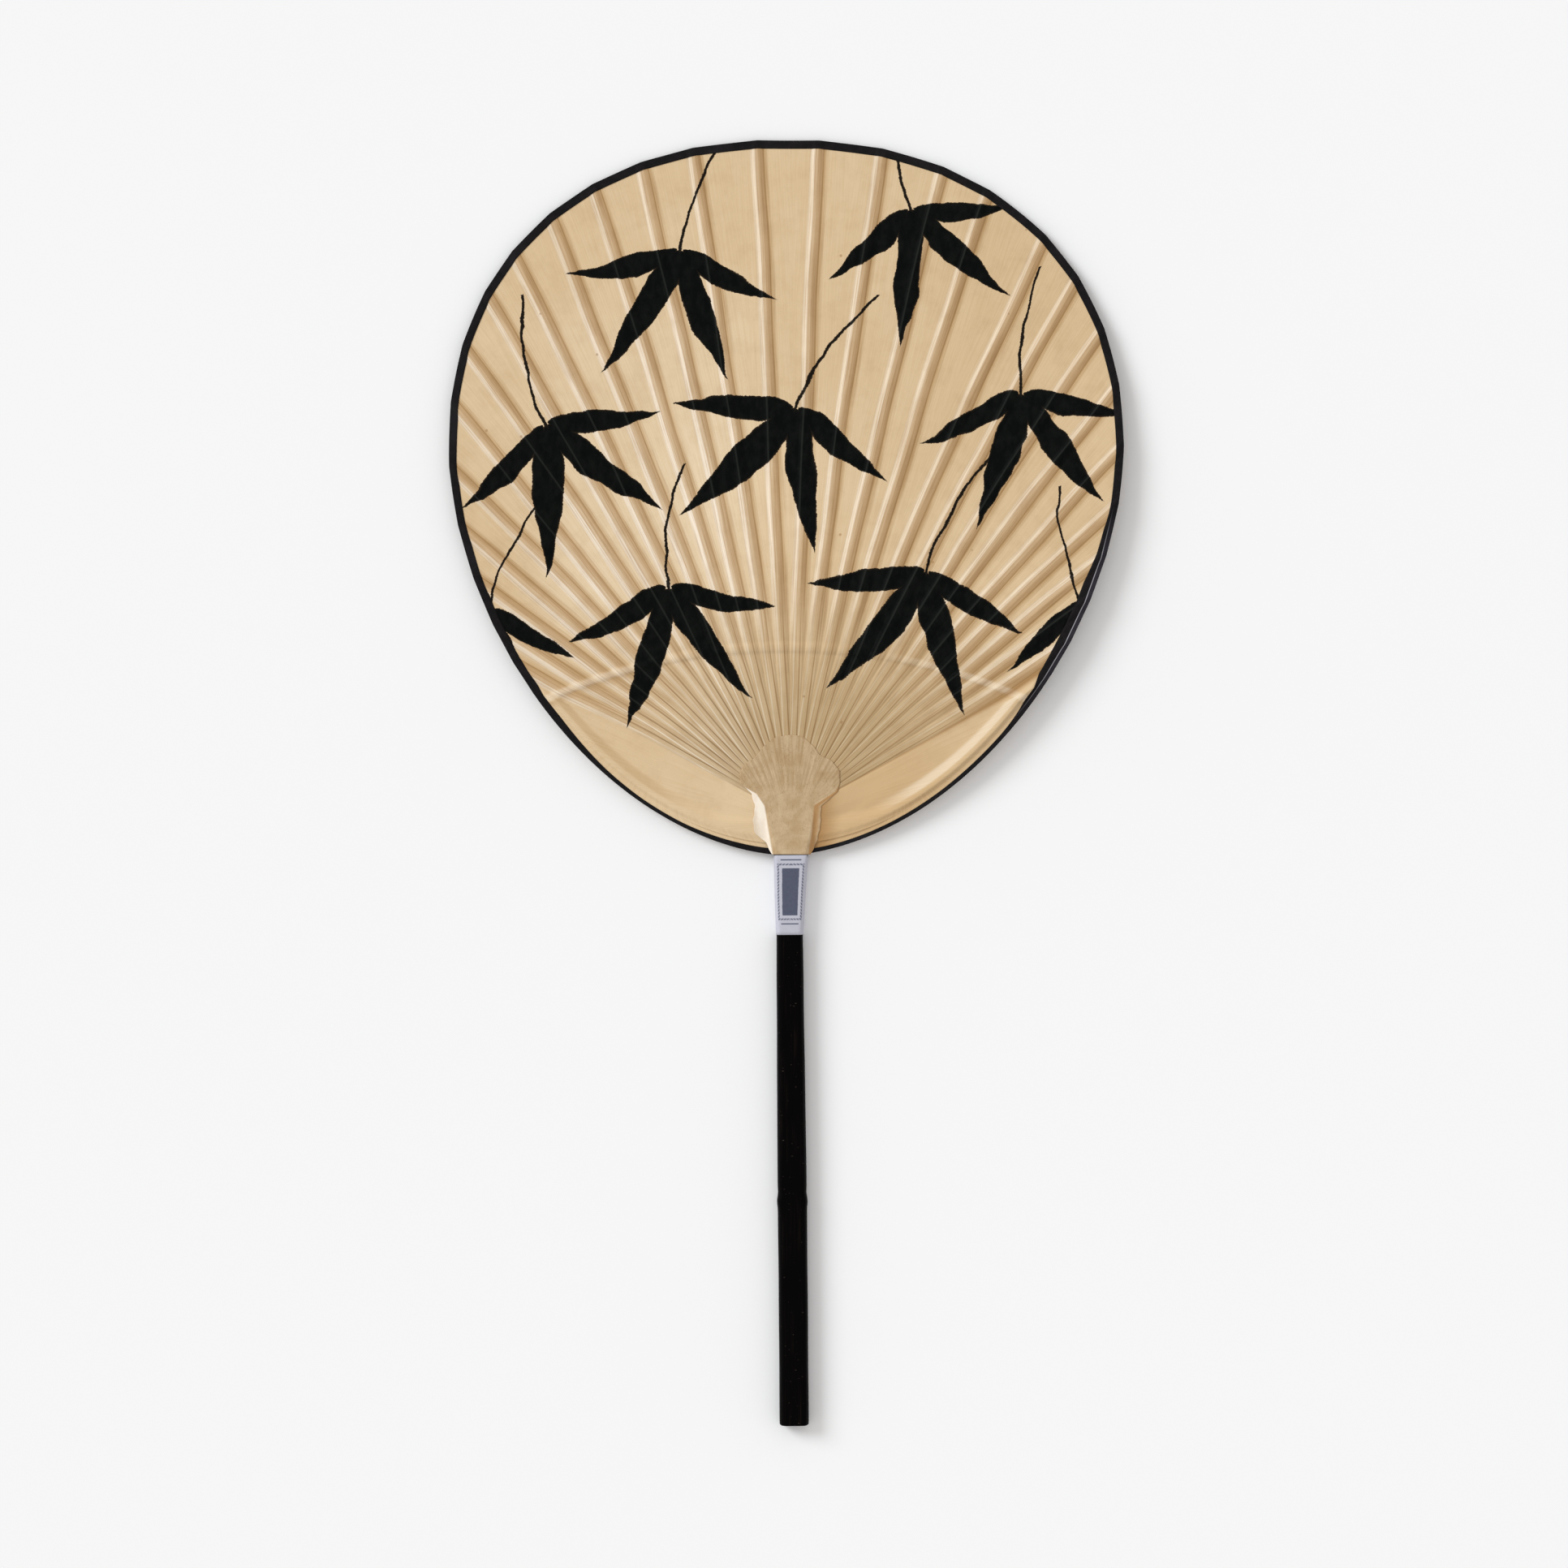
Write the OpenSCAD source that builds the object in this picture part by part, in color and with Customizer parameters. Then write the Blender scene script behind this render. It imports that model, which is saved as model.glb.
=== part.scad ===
// Round paper fan of split bamboo, lying on its back: handle towards -Y, face towards +Y, front up.
// Heights along the fan are first measured from the butt of the handle, then centred by placed().

/* [Face] */
// Width of the paper face at its widest
face_w = 240; // [210:1:270]
// Height of the face from the neck to the top
face_h = 254.6; // [235:0.2:280]
// Height above the neck at which the face is widest
wide_y = 144.4; // [130:0.2:160]
// Roundness of the upper outline, 2 for an ellipse
crown_power = 2.22; // [2:0.02:2.5]
// Fullness of the lower outline
bowl_power = 1.79; // [1.7:0.01:1.95]
// How flat the lower outline runs in to the neck
bowl_root = 0.56; // [0.53:0.01:0.6]
// How far the right edge of the face curls up
right_curl = 8.5; // [0:0.5:12]
// How far the left edge of the face curls up
left_curl = 2.5; // [0:0.5:12]

/* [Handle] */
// Length of the handle from the butt to the neck
handle_l = 203.4; // [150:0.2:240]
// Width of the handle at its butt
butt_w = 10.4; // [9:0.1:13]
// Width of the handle just below the wrapped label
stem_w = 9.3; // [8.6:0.1:11]
// Width of the bamboo at the neck, under the label
neck_w = 12; // [10.5:0.1:14]
// Thickness of the handle
handle_t = 6.6; // [6:0.1:8]
// Height of the bamboo's node above the butt
node_y = 80; // [30:1:130]
// How far the node stands out all round
node_bulge = 0.25; // [0:0.05:0.4]
// Rounding of the butt's corners
butt_round = 1; // [0.4:0.1:2]
// Place of the handle's axis beside the middle of the face
handle_x = 1.7; // [-4:0.1:4]
// Angle at which the handle leans out of line with the face
handle_lean = 0.4; // [-1:0.1:1]

/* [Head] */
// Radius of the head's round end, from which the ribs are split
head_r = 8.65; // [8.2:0.05:10]
// Height of the round end's centre above the neck
head_rise = 13.9; // [12:0.1:17]
// Thickness of the head at its round end
head_t = 3.6; // [3.4:0.1:4.2]

/* [Ribs] */
// Number of ribs split from the head
rib_count = 27; // [17:2:33]
// Angle between the outermost ribs
rib_spread = 113.5; // [96:0.5:114]
// Turn of the whole fan of ribs
rib_lean = -1.2; // [-2:0.1:1.5]
// How much closer the outer ribs stand than the middle ones
rib_crowd = 0.03; // [0:0.005:0.05]
// Uneven spacing of the ribs, in degrees
rib_wobble = 0.3; // [0:0.05:0.5]
// Width of a rib on the face
rib_w = 1.8; // [1.2:0.1:2.2]
// Thickness of a rib on the face
rib_t = 0.9; // [0.7:0.05:1.2]
// Thickness of a rib where it leaves the head
rib_root_t = 3; // [2.4:0.1:3.2]
// How far below the head's centre the outer parts of the ribs point back to
rib_bend = 7.2; // [4:0.1:9]

/* [Bow and thread] */
// Height of the bow's hole above the neck
bow_rise = 6.8; // [5.8:0.1:8]
// Distance of the bow's tied ends from the middle of the face
bow_reach = 84; // [81:0.5:86]
// Height of the bow's tied ends above its hole
bow_lift = 49.3; // [47:0.1:52]
// How late the bow turns upwards
bow_power = 2.16; // [2.05:0.01:2.3]
// Width of the bow in the middle
bow_w = 3; // [2.4:0.1:3.4]
// Thickness of the bow in the middle
bow_t = 1.5; // [1.2:0.05:1.8]
// Share of its width and thickness that the bow keeps at its ends
bow_tip = 0.65; // [0.5:0.05:0.9]
// Height of the thread's arc above the neck
thread_rise = 73.8; // [68:0.1:85]
// Thickness of the thread
thread_d = 0.5; // [0.3:0.05:0.6]
// Turns of the thread round each end of the bow
tie_turns = 3; // [2:1:4]

/* [Paper] */
// Thickness of a pasted face sheet
paper_t = 0.2; // [0.15:0.01:0.3]
// Width of a ridge over a rib, foot to foot
ridge_w = 4.6; // [3.6:0.1:5.5]
// Width of the rim strip on the upper edge
rim_w = 2.7; // [2:0.1:4]
// Width of the rim strip along the lower edge
rim_low_w = 1.4; // [1:0.1:2]
// Thickness of the rim strip
rim_t = 0.15; // [0.1:0.01:0.25]
// Width of a neck patch at its ears
patch_w = 35.8; // [30:0.2:40]
// Height of a neck patch's top above the neck
patch_h = 42.6; // [38:0.2:48]
// Thickness of the neck patches
patch_t = 0.25; // [0.15:0.01:0.4]
// Length of the label wrapped round the handle
label_l = 28.5; // [20:0.5:40]
// Thickness of the wrapped label
label_t = 0.15; // [0.1:0.01:0.3]

/* [Hidden] */

// Clearance between a piece and the next one pasted or pushed on to it
fit = 0.08;
// Gap between the two sheets where they are pasted together
paste = 0.05;
// Gap between the rim's underside at the top and the table
rest_gap = 0.1;
// Reach of the hump that the thread makes in a sheet, and its room over the ribs and between them
bump = 2.2;
bump_room = 0.24;
gap_room = 0.5;
// Room between the bow and the sheets over it, and reach of their slope beside it
bow_room = 0.45;
bow_slope = 2.5;
// Turn from the outermost ridge's foot to the first line below it, as a share of the ribs' step
side_turn = 0.4;
// Least slant, as a sine, at which a line of a sheet is taken to cross the bow
bow_slant = 0.25;
// Gaps from the sheets to the sides of the head, to the rim strip and to the neck patches
side_gap = 0.3;
rim_gap = 0.22;
patch_gap = 0.18;
// How far the bow runs on past its tie, and a rib into the head
bow_over = 1.2;
rib_seat = 1.2;
// Lengths over which a rib thins from the head, and over which the handle thins for the label,
// thins for the head and swells at its node
rib_taper = 21;
sink_run = 6;
thin_run = 8;
node_run = 6;
// Largest shares of the ribs' spacing that a rib and a ridge take up where the ribs crowd
rib_share = 0.76;
ridge_share = 0.92;
// Spacing of the ribs from which the sheets sink towards each other between them, and at which they meet
sink_from = 1;
sink_to = 5;
// Largest share of a line's stretch that the ring next to either end takes
ring_share = 0.4;
// Shares of a lower side, from the outermost rib to the head, between which the sheets lift for the head
lift_from = 0.5;
lift_to = 0.75;
// Spacing of the thread's turns, in thread thicknesses
thread_pitch = 1.2;
// Turn in degrees that makes the ribs' uneven spacing look irregular
wobble_turn = 137.5;
// A neck patch's rows beside the head, as shares of the head's rise, and above it, as pairs: the share
// of the way from the head's centre to the patch's top, and the share of the patch's half width
patch_feet = [0.2, 0.4, 0.7, 1];
patch_steps = [[0.19, 0.51], [0.27, 0.68], [0.38, 0.96], [0.5, 1], [0.6, 0.95], [0.68, 0.82],
               [0.76, 0.6], [0.88, 0.47], [0.965, 0.29], [1, 0.11]];
// Half width of the neck patch, in shares, at which its columns stand
patch_columns = [-1, -0.75, -0.5, -0.25, 0, 0.25, 0.5, 0.75, 1];
// Numbers of stations along a lower side of a sheet, half the bow, and the handle's two changes of thickness
side_steps = 8;
bow_steps = 9;
sink_steps = 6;
thin_steps = 14;
// Overshoot of a cut past the piece that it cuts
cut = 1;

face_a = face_w / 2;
neck_y = handle_l;
total_l = handle_l + face_h;
mid_z = handle_t / 2;
hub = [handle_x, neck_y + head_rise];
fan = hub - [0, rib_bend];
bow_y = neck_y + bow_rise;
bow_end = bow_y + bow_lift;
thread_y = neck_y + thread_rise;
thread_sag = thread_y - bow_end;
thread_r = (pow(bow_reach, 2) + pow(thread_sag, 2)) / (2 * thread_sag);
rib_step = rib_spread / (rib_count - 1);
rim_half = rib_t / 2 + fit + paper_t + rim_gap + rim_t;
droop = mid_z - rim_half - rest_gap;
label_y = neck_y - label_l;
label_sink = fit + label_t + paste;

function mix(a, b, t) = a + (b - a) * t;
function share(t) = min(1, max(0, t));
function smooth(t) = pow(share(t), 2) * (3 - 2 * share(t));
function unit(v) = v / norm(v);
function heading(a) = [sin(a), cos(a)];

// Half width of the face at a height above the neck, and the height of the lower outline at a half width
function half_width(y) = y >= wide_y
    ? face_a * pow(1 - pow(share((y - wide_y) / (face_h - wide_y)), crown_power), 1 / crown_power)
    : face_a * pow(1 - pow(share(1 - y / wide_y), bowl_power), bowl_root);
function outline_y(x) =
    wide_y * (1 - pow(1 - pow(x / face_a, 1 / bowl_root), 1 / bowl_power));
function in_face(p) = p.y > neck_y && p.y < total_l && abs(p.x) < half_width(p.y - neck_y);

// Distance from a point to the outline along a heading, found by halving
function reach(from, a, lo = 0, hi = total_l, n = 26) = n == 0 ? lo
    : let (m = (lo + hi) / 2)
      in_face(from + m * heading(a)) ? reach(from, a, m, hi, n - 1) : reach(from, a, lo, m, n - 1);

// Height of the middle of the sheets: level at the hub, drooping to the top and curled at the sides
function middle(p) =
    let (u = (p.y - hub.y) / (total_l - hub.y), curl = p.x > 0 ? right_curl : left_curl)
    mid_z - droop * u * abs(u) + curl * pow(p.x / face_a, 2) * (1 - max(0, u));

// Half width and half thickness of the bamboo at a height above the butt
function stem_r(y) = y < label_y ? mix(butt_w, stem_w, y / label_y) / 2
    : y < neck_y ? mix(stem_w, neck_w, (y - label_y) / label_l) / 2
    : y < hub.y ? mix(neck_w / 2, head_r, (y - neck_y) / head_rise)
    : sqrt(max(0, pow(head_r, 2) - pow(y - hub.y, 2)));
function stem_half_t(y) = handle_t / 2
    - label_sink * smooth((y - label_y) / sink_run + 1)
    - (handle_t / 2 - label_sink - head_t / 2)
    * smooth((y - neck_y + thin_run) / (head_rise + head_r + thin_run));
function stem_flat(y) = sqrt(pow(stem_r(y), 2) - pow(stem_half_t(y), 2));

// Angle of each rib at the point where the outer parts of the ribs meet
function rib_angle(i) =
    let (u = 2 * i / (rib_count - 1) - 1)
    rib_lean + rib_spread / 2 * (u + rib_crowd * sin(180 * u)) + rib_wobble * sin(wobble_turn * i);

// Where a ray of the fan leaves the head, crosses the thread and meets the outline
function at_thread(a) =
    let (w = fan - [0, thread_y - thread_r], b = w * heading(a), c = w * w - pow(thread_r, 2))
    fan + (sqrt(b * b - c) - b) * heading(a);
function at_head(a) = hub + (head_r + fit) * unit(at_thread(a) - hub);
function at_edge(a) = fan + reach(fan, a) * heading(a);

// The eight rings of a sheet along one line: head, end of the ribs' taper, before the thread or bow,
// on it, after it, middle, inner edge of the rim strip, outline
function rings(r, t, e, before, after, strip) =
    let (l = norm(t - r), m = norm(e - t))
    [r, mix(r, t, min(rib_taper / l, ring_share)), mix(r, t, 1 - min(before / l, ring_share)), t,
     mix(t, e, min(after / m, ring_share)), mix(t, e, 0.5), mix(t, e, 1 - min(strip / m, ring_share)), e];
function ray(a) = rings(at_head(a), at_thread(a), at_edge(a), bump, bump, rim_w);

// How far apart neighbouring ribs are at each ring, and their half thickness there
function rib_gaps(i) =
    let (line = ray(rib_angle(i)), t = line[3], turn = norm(t - fan) / norm(t - hub))
    [for (k = [0:7]) rib_step * PI / 180 * (k < 3 ? norm(line[k] - hub) * turn : norm(line[k] - fan))];
function rib_half_t(k) = k == 0 ? rib_root_t / 2 : rib_t / 2;
function rib_half_w(gap) = min(rib_w, rib_share * gap) / 2;
function foot_half_w(gap) = min(ridge_w, ridge_share * gap) / 2;

// A line of a sheet beside rib i: side -1 or 1, on the rib's edge or at the ridge's foot
function beside(i, side, foot) =
    let (gaps = rib_gaps(i))
    [for (k = [0:7])
        let (off = foot ? foot_half_w(gaps[k]) : rib_half_w(gaps[k]))
        ray(rib_angle(i) + side * off / gaps[k] * rib_step)[k]];
function lift_on_rib(k) = k == 7 ? paste : rib_half_t(k) + fit + (k == 3 ? thread_d + bump_room : 0);
function lift_in_gap(k, gap) = k == 3 ? thread_d / 2 + gap_room
    : k == 7 ? paste : mix(rib_half_t(k) + fit, paste, smooth((gap - sink_from) / (sink_to - sink_from)));
function rib_lines(i) =
    let (gaps = rib_gaps(i), foot = [for (k = [0:7]) lift_in_gap(k, gaps[k])],
         top = [for (k = [0:7]) lift_on_rib(k)])
    [[beside(i, -1, true), foot], [beside(i, -1, false), top],
     [beside(i, 1, false), top], [beside(i, 1, true), foot]];

// The bow's curve, straight through the head and up to the ends of the thread
function bow_at(x) = [x, bow_y + bow_lift * pow(abs(x) / bow_reach, bow_power)];
function bow_along(x) = unit(bow_at(x + 0.01) - bow_at(x - 0.01));
function bow_half(x) = let (s = mix(1, bow_tip, smooth(abs(x) / bow_reach)))
    [bow_w / 2 * s, bow_t / 2 * s];

// A line of a sheet below the ribs, from the head's side over the bow to the lower outline;
// v is 0 beside the outermost rib and 1 along the head
function below(side, v) =
    let (last = side < 0 ? 0 : rib_count - 1,
         gap = rib_gaps(last)[7],
         outer = rib_angle(last) + side * (foot_half_w(gap) / gap + side_turn) * rib_step,
         head_y = mix(at_head(rib_angle(last) + side * rib_step).y, bow_y + bow_w / 2 + bow_room, v),
         corner = hub.x + side * (stem_r(neck_y) + side_gap),
         low_y = outline_y(abs(corner)),
         e_y = mix(low_y, at_edge(outer).y - neck_y, pow(1 - v, 2)),
         r = [hub.x + side * (stem_r(head_y) + side_gap), head_y],
         t = bow_at(mix(side * bow_reach, hub.x + side * (stem_r(bow_y) + side_gap), v)),
         e = [v == 1 ? corner : side * half_width(e_y), neck_y + e_y])
    rings(r, t, e, bow_hump(t, t - r), bow_hump(t, e - t), mix(rim_w, rim_low_w, smooth(v * 3)));
function bow_hump(t, way) =
    (bow_w / 2 + bow_slope) / max(bow_slant, abs(cross(unit(way), bow_along(t.x))));
function lift_below(v) =
    let (over = bow_t / 2 + bow_room, tied = v == 0 ? thread_d + bump_room : 0,
         near = smooth((v - lift_from) / (lift_to - lift_from)))
    [mix(rib_root_t / 2 + fit, over, v), mix(mix(rib_t / 2, paste, v), over, near), mix(paste, over, near),
     over + tied, v == 0 ? over : mix(paste, over / 2, near), paste, paste, paste];
function side_lines(side) = [for (s = [0:side_steps])
    let (v = (side < 0 ? side_steps - s : s) / side_steps) [below(side, v), lift_below(v)]];

sheet_lines = concat(side_lines(-1), [for (i = [0:rib_count - 1]) each rib_lines(i)], side_lines(1));

// Points at a height above or below the middle of the sheets
function raised(p, up) = [p.x, p.y, middle(p) + up];
function backwards(list) = [for (i = [len(list) - 1:-1:0]) list[i]];

// A closed skin over a row of loops; each loop runs out over half its points and back over the rest,
// and the faces of both halves are split along the same diagonals, so that a thin wall keeps its thickness
module lofted(loops) {
    n = len(loops[0]);
    last = (len(loops) - 1) * n;
    polyhedron(
        points = [for (loop = loops) each loop],
        faces = [
            for (j = [0:n:last - n], k = [0:n - 1])
                let (m = (k + 1) % n, p = j + k, q = j + m)
                each k < n / 2 ? [[p, q, q + n], [p, q + n, p + n]] : [[p, q, p + n], [q, q + n, p + n]],
            for (a = [0:n / 2 - 2])
                let (b = a + 1, c = n - 2 - a, d = n - 1 - a)
                each [[a, c, b], [a, d, c], [last + a, last + b, last + c], [last + a, last + c, last + d]]
        ],
        convexity = 10);
}

// A thread of four sides along a path, its sides turned by a direction given for each point
module strand(path, across) {
    lofted([for (i = [0:len(path) - 1])
        let (ahead = unit(path[min(i + 1, len(path) - 1)] - path[max(i - 1, 0)]),
             u = unit(across[i] - (across[i] * ahead) * ahead),
             w = cross(ahead, u))
        [for (q = [0:90:270]) path[i] + thread_d / 2 * (cos(q) * u - sin(q) * w)]]);
}

module placed() {
    translate([0, -total_l / 2, 0]) children();
}

module on_handle() {
    translate([hub.x, hub.y, mid_z]) rotate([0, 0, handle_lean]) translate([0, -hub.y, 0]) children();
}

// The bamboo between two heights, grown by a margin: turned about its axis and cut to its thickness
module stem(margin, y0, y1) {
    heights = concat(
        [for (y = [node_y - node_run, node_y - node_run / 4, node_y, node_y + node_run / 4,
                   node_y + node_run, label_y, neck_y, hub.y]) if (y > y0 && y < y1) y],
        [for (a = [15:15:75]) if (y1 > hub.y) hub.y + head_r * sin(a)]);
    butt = [for (a = [0:22.5:90])
        [stem_r(0) - butt_round * (1 - sin(a)), butt_round * (1 - cos(a))]];
    side = [for (y = heights) [stem_r(y) + margin + (y == node_y ? node_bulge : 0), y]];
    thinner = concat([for (i = [0:sink_steps]) label_y - sink_run * (1 - i / sink_steps)],
                     [for (i = [0:thin_steps]) mix(neck_y - thin_run, hub.y + head_r, i / thin_steps)]);
    steps = concat([y0], [for (y = thinner) if (y > y0 && y < y1) y], [y1]);
    intersection() {
        rotate([-90, 0, 0]) rotate_extrude($fn = 96) polygon(concat(
            [[0, y0]],
            y0 > 0 ? [[stem_r(y0) + margin, y0]] : butt,
            side,
            [[y1 > hub.y ? 0 : stem_r(y1) + margin, y1]],
            y1 > hub.y ? [] : [[0, y1]]));
        rotate([90, 0, 90]) linear_extrude(4 * head_r, center = true) polygon(concat(
            [for (y = steps) [y, stem_half_t(y) + margin]],
            [for (y = backwards(steps)) [y, -stem_half_t(y) - margin]]));
    }
}

// One rib: from inside the head, past the thread, to the inner edge of the rim strip
module rib(i) {
    left = beside(i, -1, false);
    right = beside(i, 1, false);
    root = [for (line = [left, right]) hub + (line[0] - hub) * (1 - rib_seat / head_r)];
    loops = [for (k = [-1:6])
        let (l = k < 0 ? root[0] : left[k], r = k < 0 ? root[1] : right[k], t = rib_half_t(max(0, k)))
        [raised(r, t), raised(l, t), raised(l, -t), raised(r, -t)]];
    lofted(loops);
}

// The handle and the ribs, split from one length of bamboo, with the bow's hole through the head
module bamboo_frame() {
    slot_w = bow_w + 2 * fit + bow_at(hub.x + stem_r(bow_y)).y - bow_y;
    color("burlywood") placed() {
        difference() {
            on_handle() stem(0, 0, hub.y + head_r);
            translate([hub.x - 2 * head_r, bow_y - bow_w / 2 - fit, mid_z - bow_t / 2 - 2 * fit])
                cube([4 * head_r, slot_w, bow_t + 4 * fit]);
        }
        for (i = [0:rib_count - 1]) rib(i);
    }
}

// The shaved strip that is pushed through the head and bent up by the ends of the thread
module bow() {
    color("tan") placed() lofted([for (s = [-bow_steps:bow_steps])
        let (x = s / bow_steps * (bow_reach + bow_over), c = bow_at(x),
             ahead = bow_along(x), half = bow_half(x))
        [for (q = [315:-45:0])
            raised(c, 0) + half[0] * cos(q) * [-ahead.y, ahead.x, 0] + half[1] * sin(q) * [0, 0, 1]]]);
}

// A thread over one rib and under the next, its end wound round the bow or tucked against it
function weave(level) = [for (i = [0:rib_count - 1], side = [-1, 1])
    let (gap = rib_gaps(i)[3], over = level * (i % 2 == 0 ? 1 : -1),
         a = rib_angle(i) + side * rib_half_w(gap) / gap * rib_step,
         p = at_thread(a) + level * thread_d * thread_pitch / 2 * heading(a))
    raised(p, over * (rib_t / 2 + thread_d / 2 + fit))];
function tie(side, turns) = [for (q = [0:45:turns * 360])
    let (x = side * (bow_reach - (tie_turns - q / 360) * thread_d * thread_pitch), c = bow_at(x),
         half = bow_half(x) + [1, 1] * (thread_d / 2 + 1.5 * fit), ahead = bow_along(x))
    raised(c, half[1] * sin(q)) + half[0] * cos(q) * side * [-side * ahead.y, side * ahead.x, 0]];
function ray_heading(p) = let (h = unit([p.x, p.y] - fan)) [h.x, h.y, 0];

// Two strands twined between the ribs; one of them is tied to the bow at both ends
module weaving_thread() {
    color("ivory") placed() for (level = [-1, 1]) {
        turns = level > 0 ? tie_turns : 0;
        path = concat(backwards(tie(-1, turns)), weave(level), tie(1, turns));
        strand(path, [for (p = path) ray_heading(p)]);
    }
}

// One face sheet, above the ribs for side 1 and below them for side -1
module sheet(side) {
    lofted([for (line = sheet_lines)
        let (inner = [for (k = [0:7]) raised(line[0][k], side * line[1][k])],
             outer = [for (k = [0:7]) raised(line[0][k], side * (line[1][k] + paper_t))])
        side > 0 ? concat(outer, backwards(inner)) : concat(inner, backwards(outer))]);
}

module front_paper() {
    color("wheat") placed() sheet(1);
}

module back_paper() {
    color("wheat") placed() sheet(-1);
}

// The strip folded over the edges of both sheets
module rim_binding() {
    color("black") placed() lofted([for (line = sheet_lines)
        let (i = line[0][6], e = line[0][7], out = unit(e - i), up = paper_t + rim_gap,
             near = line[1][6] + up, far = line[1][7] + up,
             skin = [raised(i, near + rim_t), raised(e + out * (fit + rim_t), far + rim_t),
                     raised(e + out * (fit + rim_t), -far - rim_t), raised(i, -near - rim_t)],
             lining = [raised(i, near), raised(e + out * fit, far), raised(e + out * fit, -far),
                       raised(i, -near)])
        concat(skin, backwards(lining))]);
}

// Half thickness of what lies under a neck patch: the head, then the ribs with their sheet
function under_patch(p) =
    let (r = norm(p - hub))
    p.y < hub.y || r < head_r ? max(stem_half_t(p.y), rib_root_t / 2)
    : mix(rib_root_t / 2, rib_t / 2, share((r - head_r) / rib_taper)) + fit + paper_t;

module neck_patch(side) {
    rows = concat([for (h = patch_feet * head_rise) [neck_y + h, stem_flat(neck_y + h)]],
                  [for (step = patch_steps) [mix(hub.y, neck_y + patch_h, step[0]), patch_w / 2 * step[1]]]);
    lofted([for (row = rows)
        let (line = [for (s = patch_columns) [hub.x - s * row[1], row[0]]],
             inner = [for (p = line) raised(p, side * (under_patch(p) + patch_gap))],
             outer = [for (p = line) raised(p, side * (under_patch(p) + patch_gap + patch_t))])
        side > 0 ? concat(outer, backwards(inner)) : concat(inner, backwards(outer))]);
}

module front_neck_patch() {
    color("tan") placed() neck_patch(1);
}

module back_neck_patch() {
    color("tan") placed() neck_patch(-1);
}

// The label wrapped round the top of the handle
module label_band() {
    color("lavender") placed() on_handle() difference() {
        stem(fit + label_t, label_y, neck_y - fit);
        stem(fit, label_y - cut, neck_y + cut);
    }
}

bamboo_frame();
bow();
weaving_thread();
front_paper();
back_paper();
rim_binding();
front_neck_patch();
back_neck_patch();
label_band();
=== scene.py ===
import math

import bmesh
import bpy
import numpy as np
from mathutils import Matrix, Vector
from mathutils.bvhtree import BVHTree


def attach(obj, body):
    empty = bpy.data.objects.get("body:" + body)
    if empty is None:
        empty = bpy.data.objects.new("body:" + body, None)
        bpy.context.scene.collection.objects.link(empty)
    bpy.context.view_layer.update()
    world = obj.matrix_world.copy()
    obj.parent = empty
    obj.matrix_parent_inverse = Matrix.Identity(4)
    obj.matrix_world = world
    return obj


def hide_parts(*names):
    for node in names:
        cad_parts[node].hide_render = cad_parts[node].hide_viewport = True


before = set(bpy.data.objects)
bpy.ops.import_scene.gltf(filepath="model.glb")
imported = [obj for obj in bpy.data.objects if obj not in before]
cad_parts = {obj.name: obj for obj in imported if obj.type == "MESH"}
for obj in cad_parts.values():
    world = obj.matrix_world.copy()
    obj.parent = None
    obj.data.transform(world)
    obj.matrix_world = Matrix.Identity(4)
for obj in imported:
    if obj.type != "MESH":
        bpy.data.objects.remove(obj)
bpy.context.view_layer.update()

# Handle and head of the fan: one length of bamboo, flattened on both faces and lacquered black.
# Its top end is pared thinner and rounded into the head, and it keeps the slight swelling of the
# bamboo's node.
MIDDLE_Y = 229.0
NECK_Y = 203.4
LABEL_Y = NECK_Y - 28.5
# Lengths are millimetres and heights start at the butt. A point seen from above is the complex
# number of its place, sideways plus its height times 1j, as for the hub that the ribs leave.
HUB = 1.7 + 217.3j
MID_Z = 3.3
HEAD_R = 8.65
STEM_AT = [0.0, 84.0, 105.0, 160.0, LABEL_Y, NECK_Y, HUB.imag]
STEM_R = [5.2, 5.22, 5.12, 4.76, 4.7, 6.0, HEAD_R]
LABEL_SEAT, HEAD_PARED, PARED_BELOW = 0.34, 1.22, 8.0
FLATNESS = 9
LEAN = math.radians(0.4)
BEND_AT = [0.0, 45.0, 80.0, 110.0, 150.0, LABEL_Y, 190.0, NECK_Y]
BEND = [-0.3, -0.32, -0.42, -0.52, -0.64, -0.68, -0.42, 0.0]
NODE_Y = 80.0
BUTT_ROUND = 0.9
GRAIN_SEED = 4.0


def blend_in(t):
    t = np.clip(t, 0.0, 1.0)
    return t * t * (3.0 - 2.0 * t)


def uneven(x, y, seed):
    """Slow irregular swell between about -1 and 1, different for every seed."""
    total = 0.0
    for k in range(5):
        turn = seed * 1.7 + k * 2.399
        pace = 1.0 + 0.37 * k
        wave = x * math.cos(turn) + y * math.sin(turn)
        total = total + np.sin(wave * pace + seed * 3.1 + k)
    return total / 3.2


def put(name, data):
    piece = bpy.data.objects.new(name, data)
    bpy.context.scene.collection.objects.link(piece)
    return piece


def to_mesh(name, points, faces, lay=None):
    """A smooth mesh from points in millimetres from the butt, with its seams welded outwards."""
    mesh = bpy.data.meshes.new(name)
    spots = (np.asarray(points, float).reshape(-1, 3) - (0.0, MIDDLE_Y, 0.0)) * 0.001
    mesh.from_pydata(spots.tolist(), [], list(faces))
    if lay is not None:
        mesh.uv_layers.new(name="lay").data.foreach_set("uv", np.asarray(lay, np.float32).ravel())
    work = bmesh.new()
    work.from_mesh(mesh)
    bmesh.ops.remove_doubles(work, verts=work.verts, dist=1e-8)
    bmesh.ops.recalc_face_normals(work, faces=work.faces)
    for face in work.faces:
        face.smooth = True
    work.to_mesh(mesh)
    work.free()
    return put(name, mesh)


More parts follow.
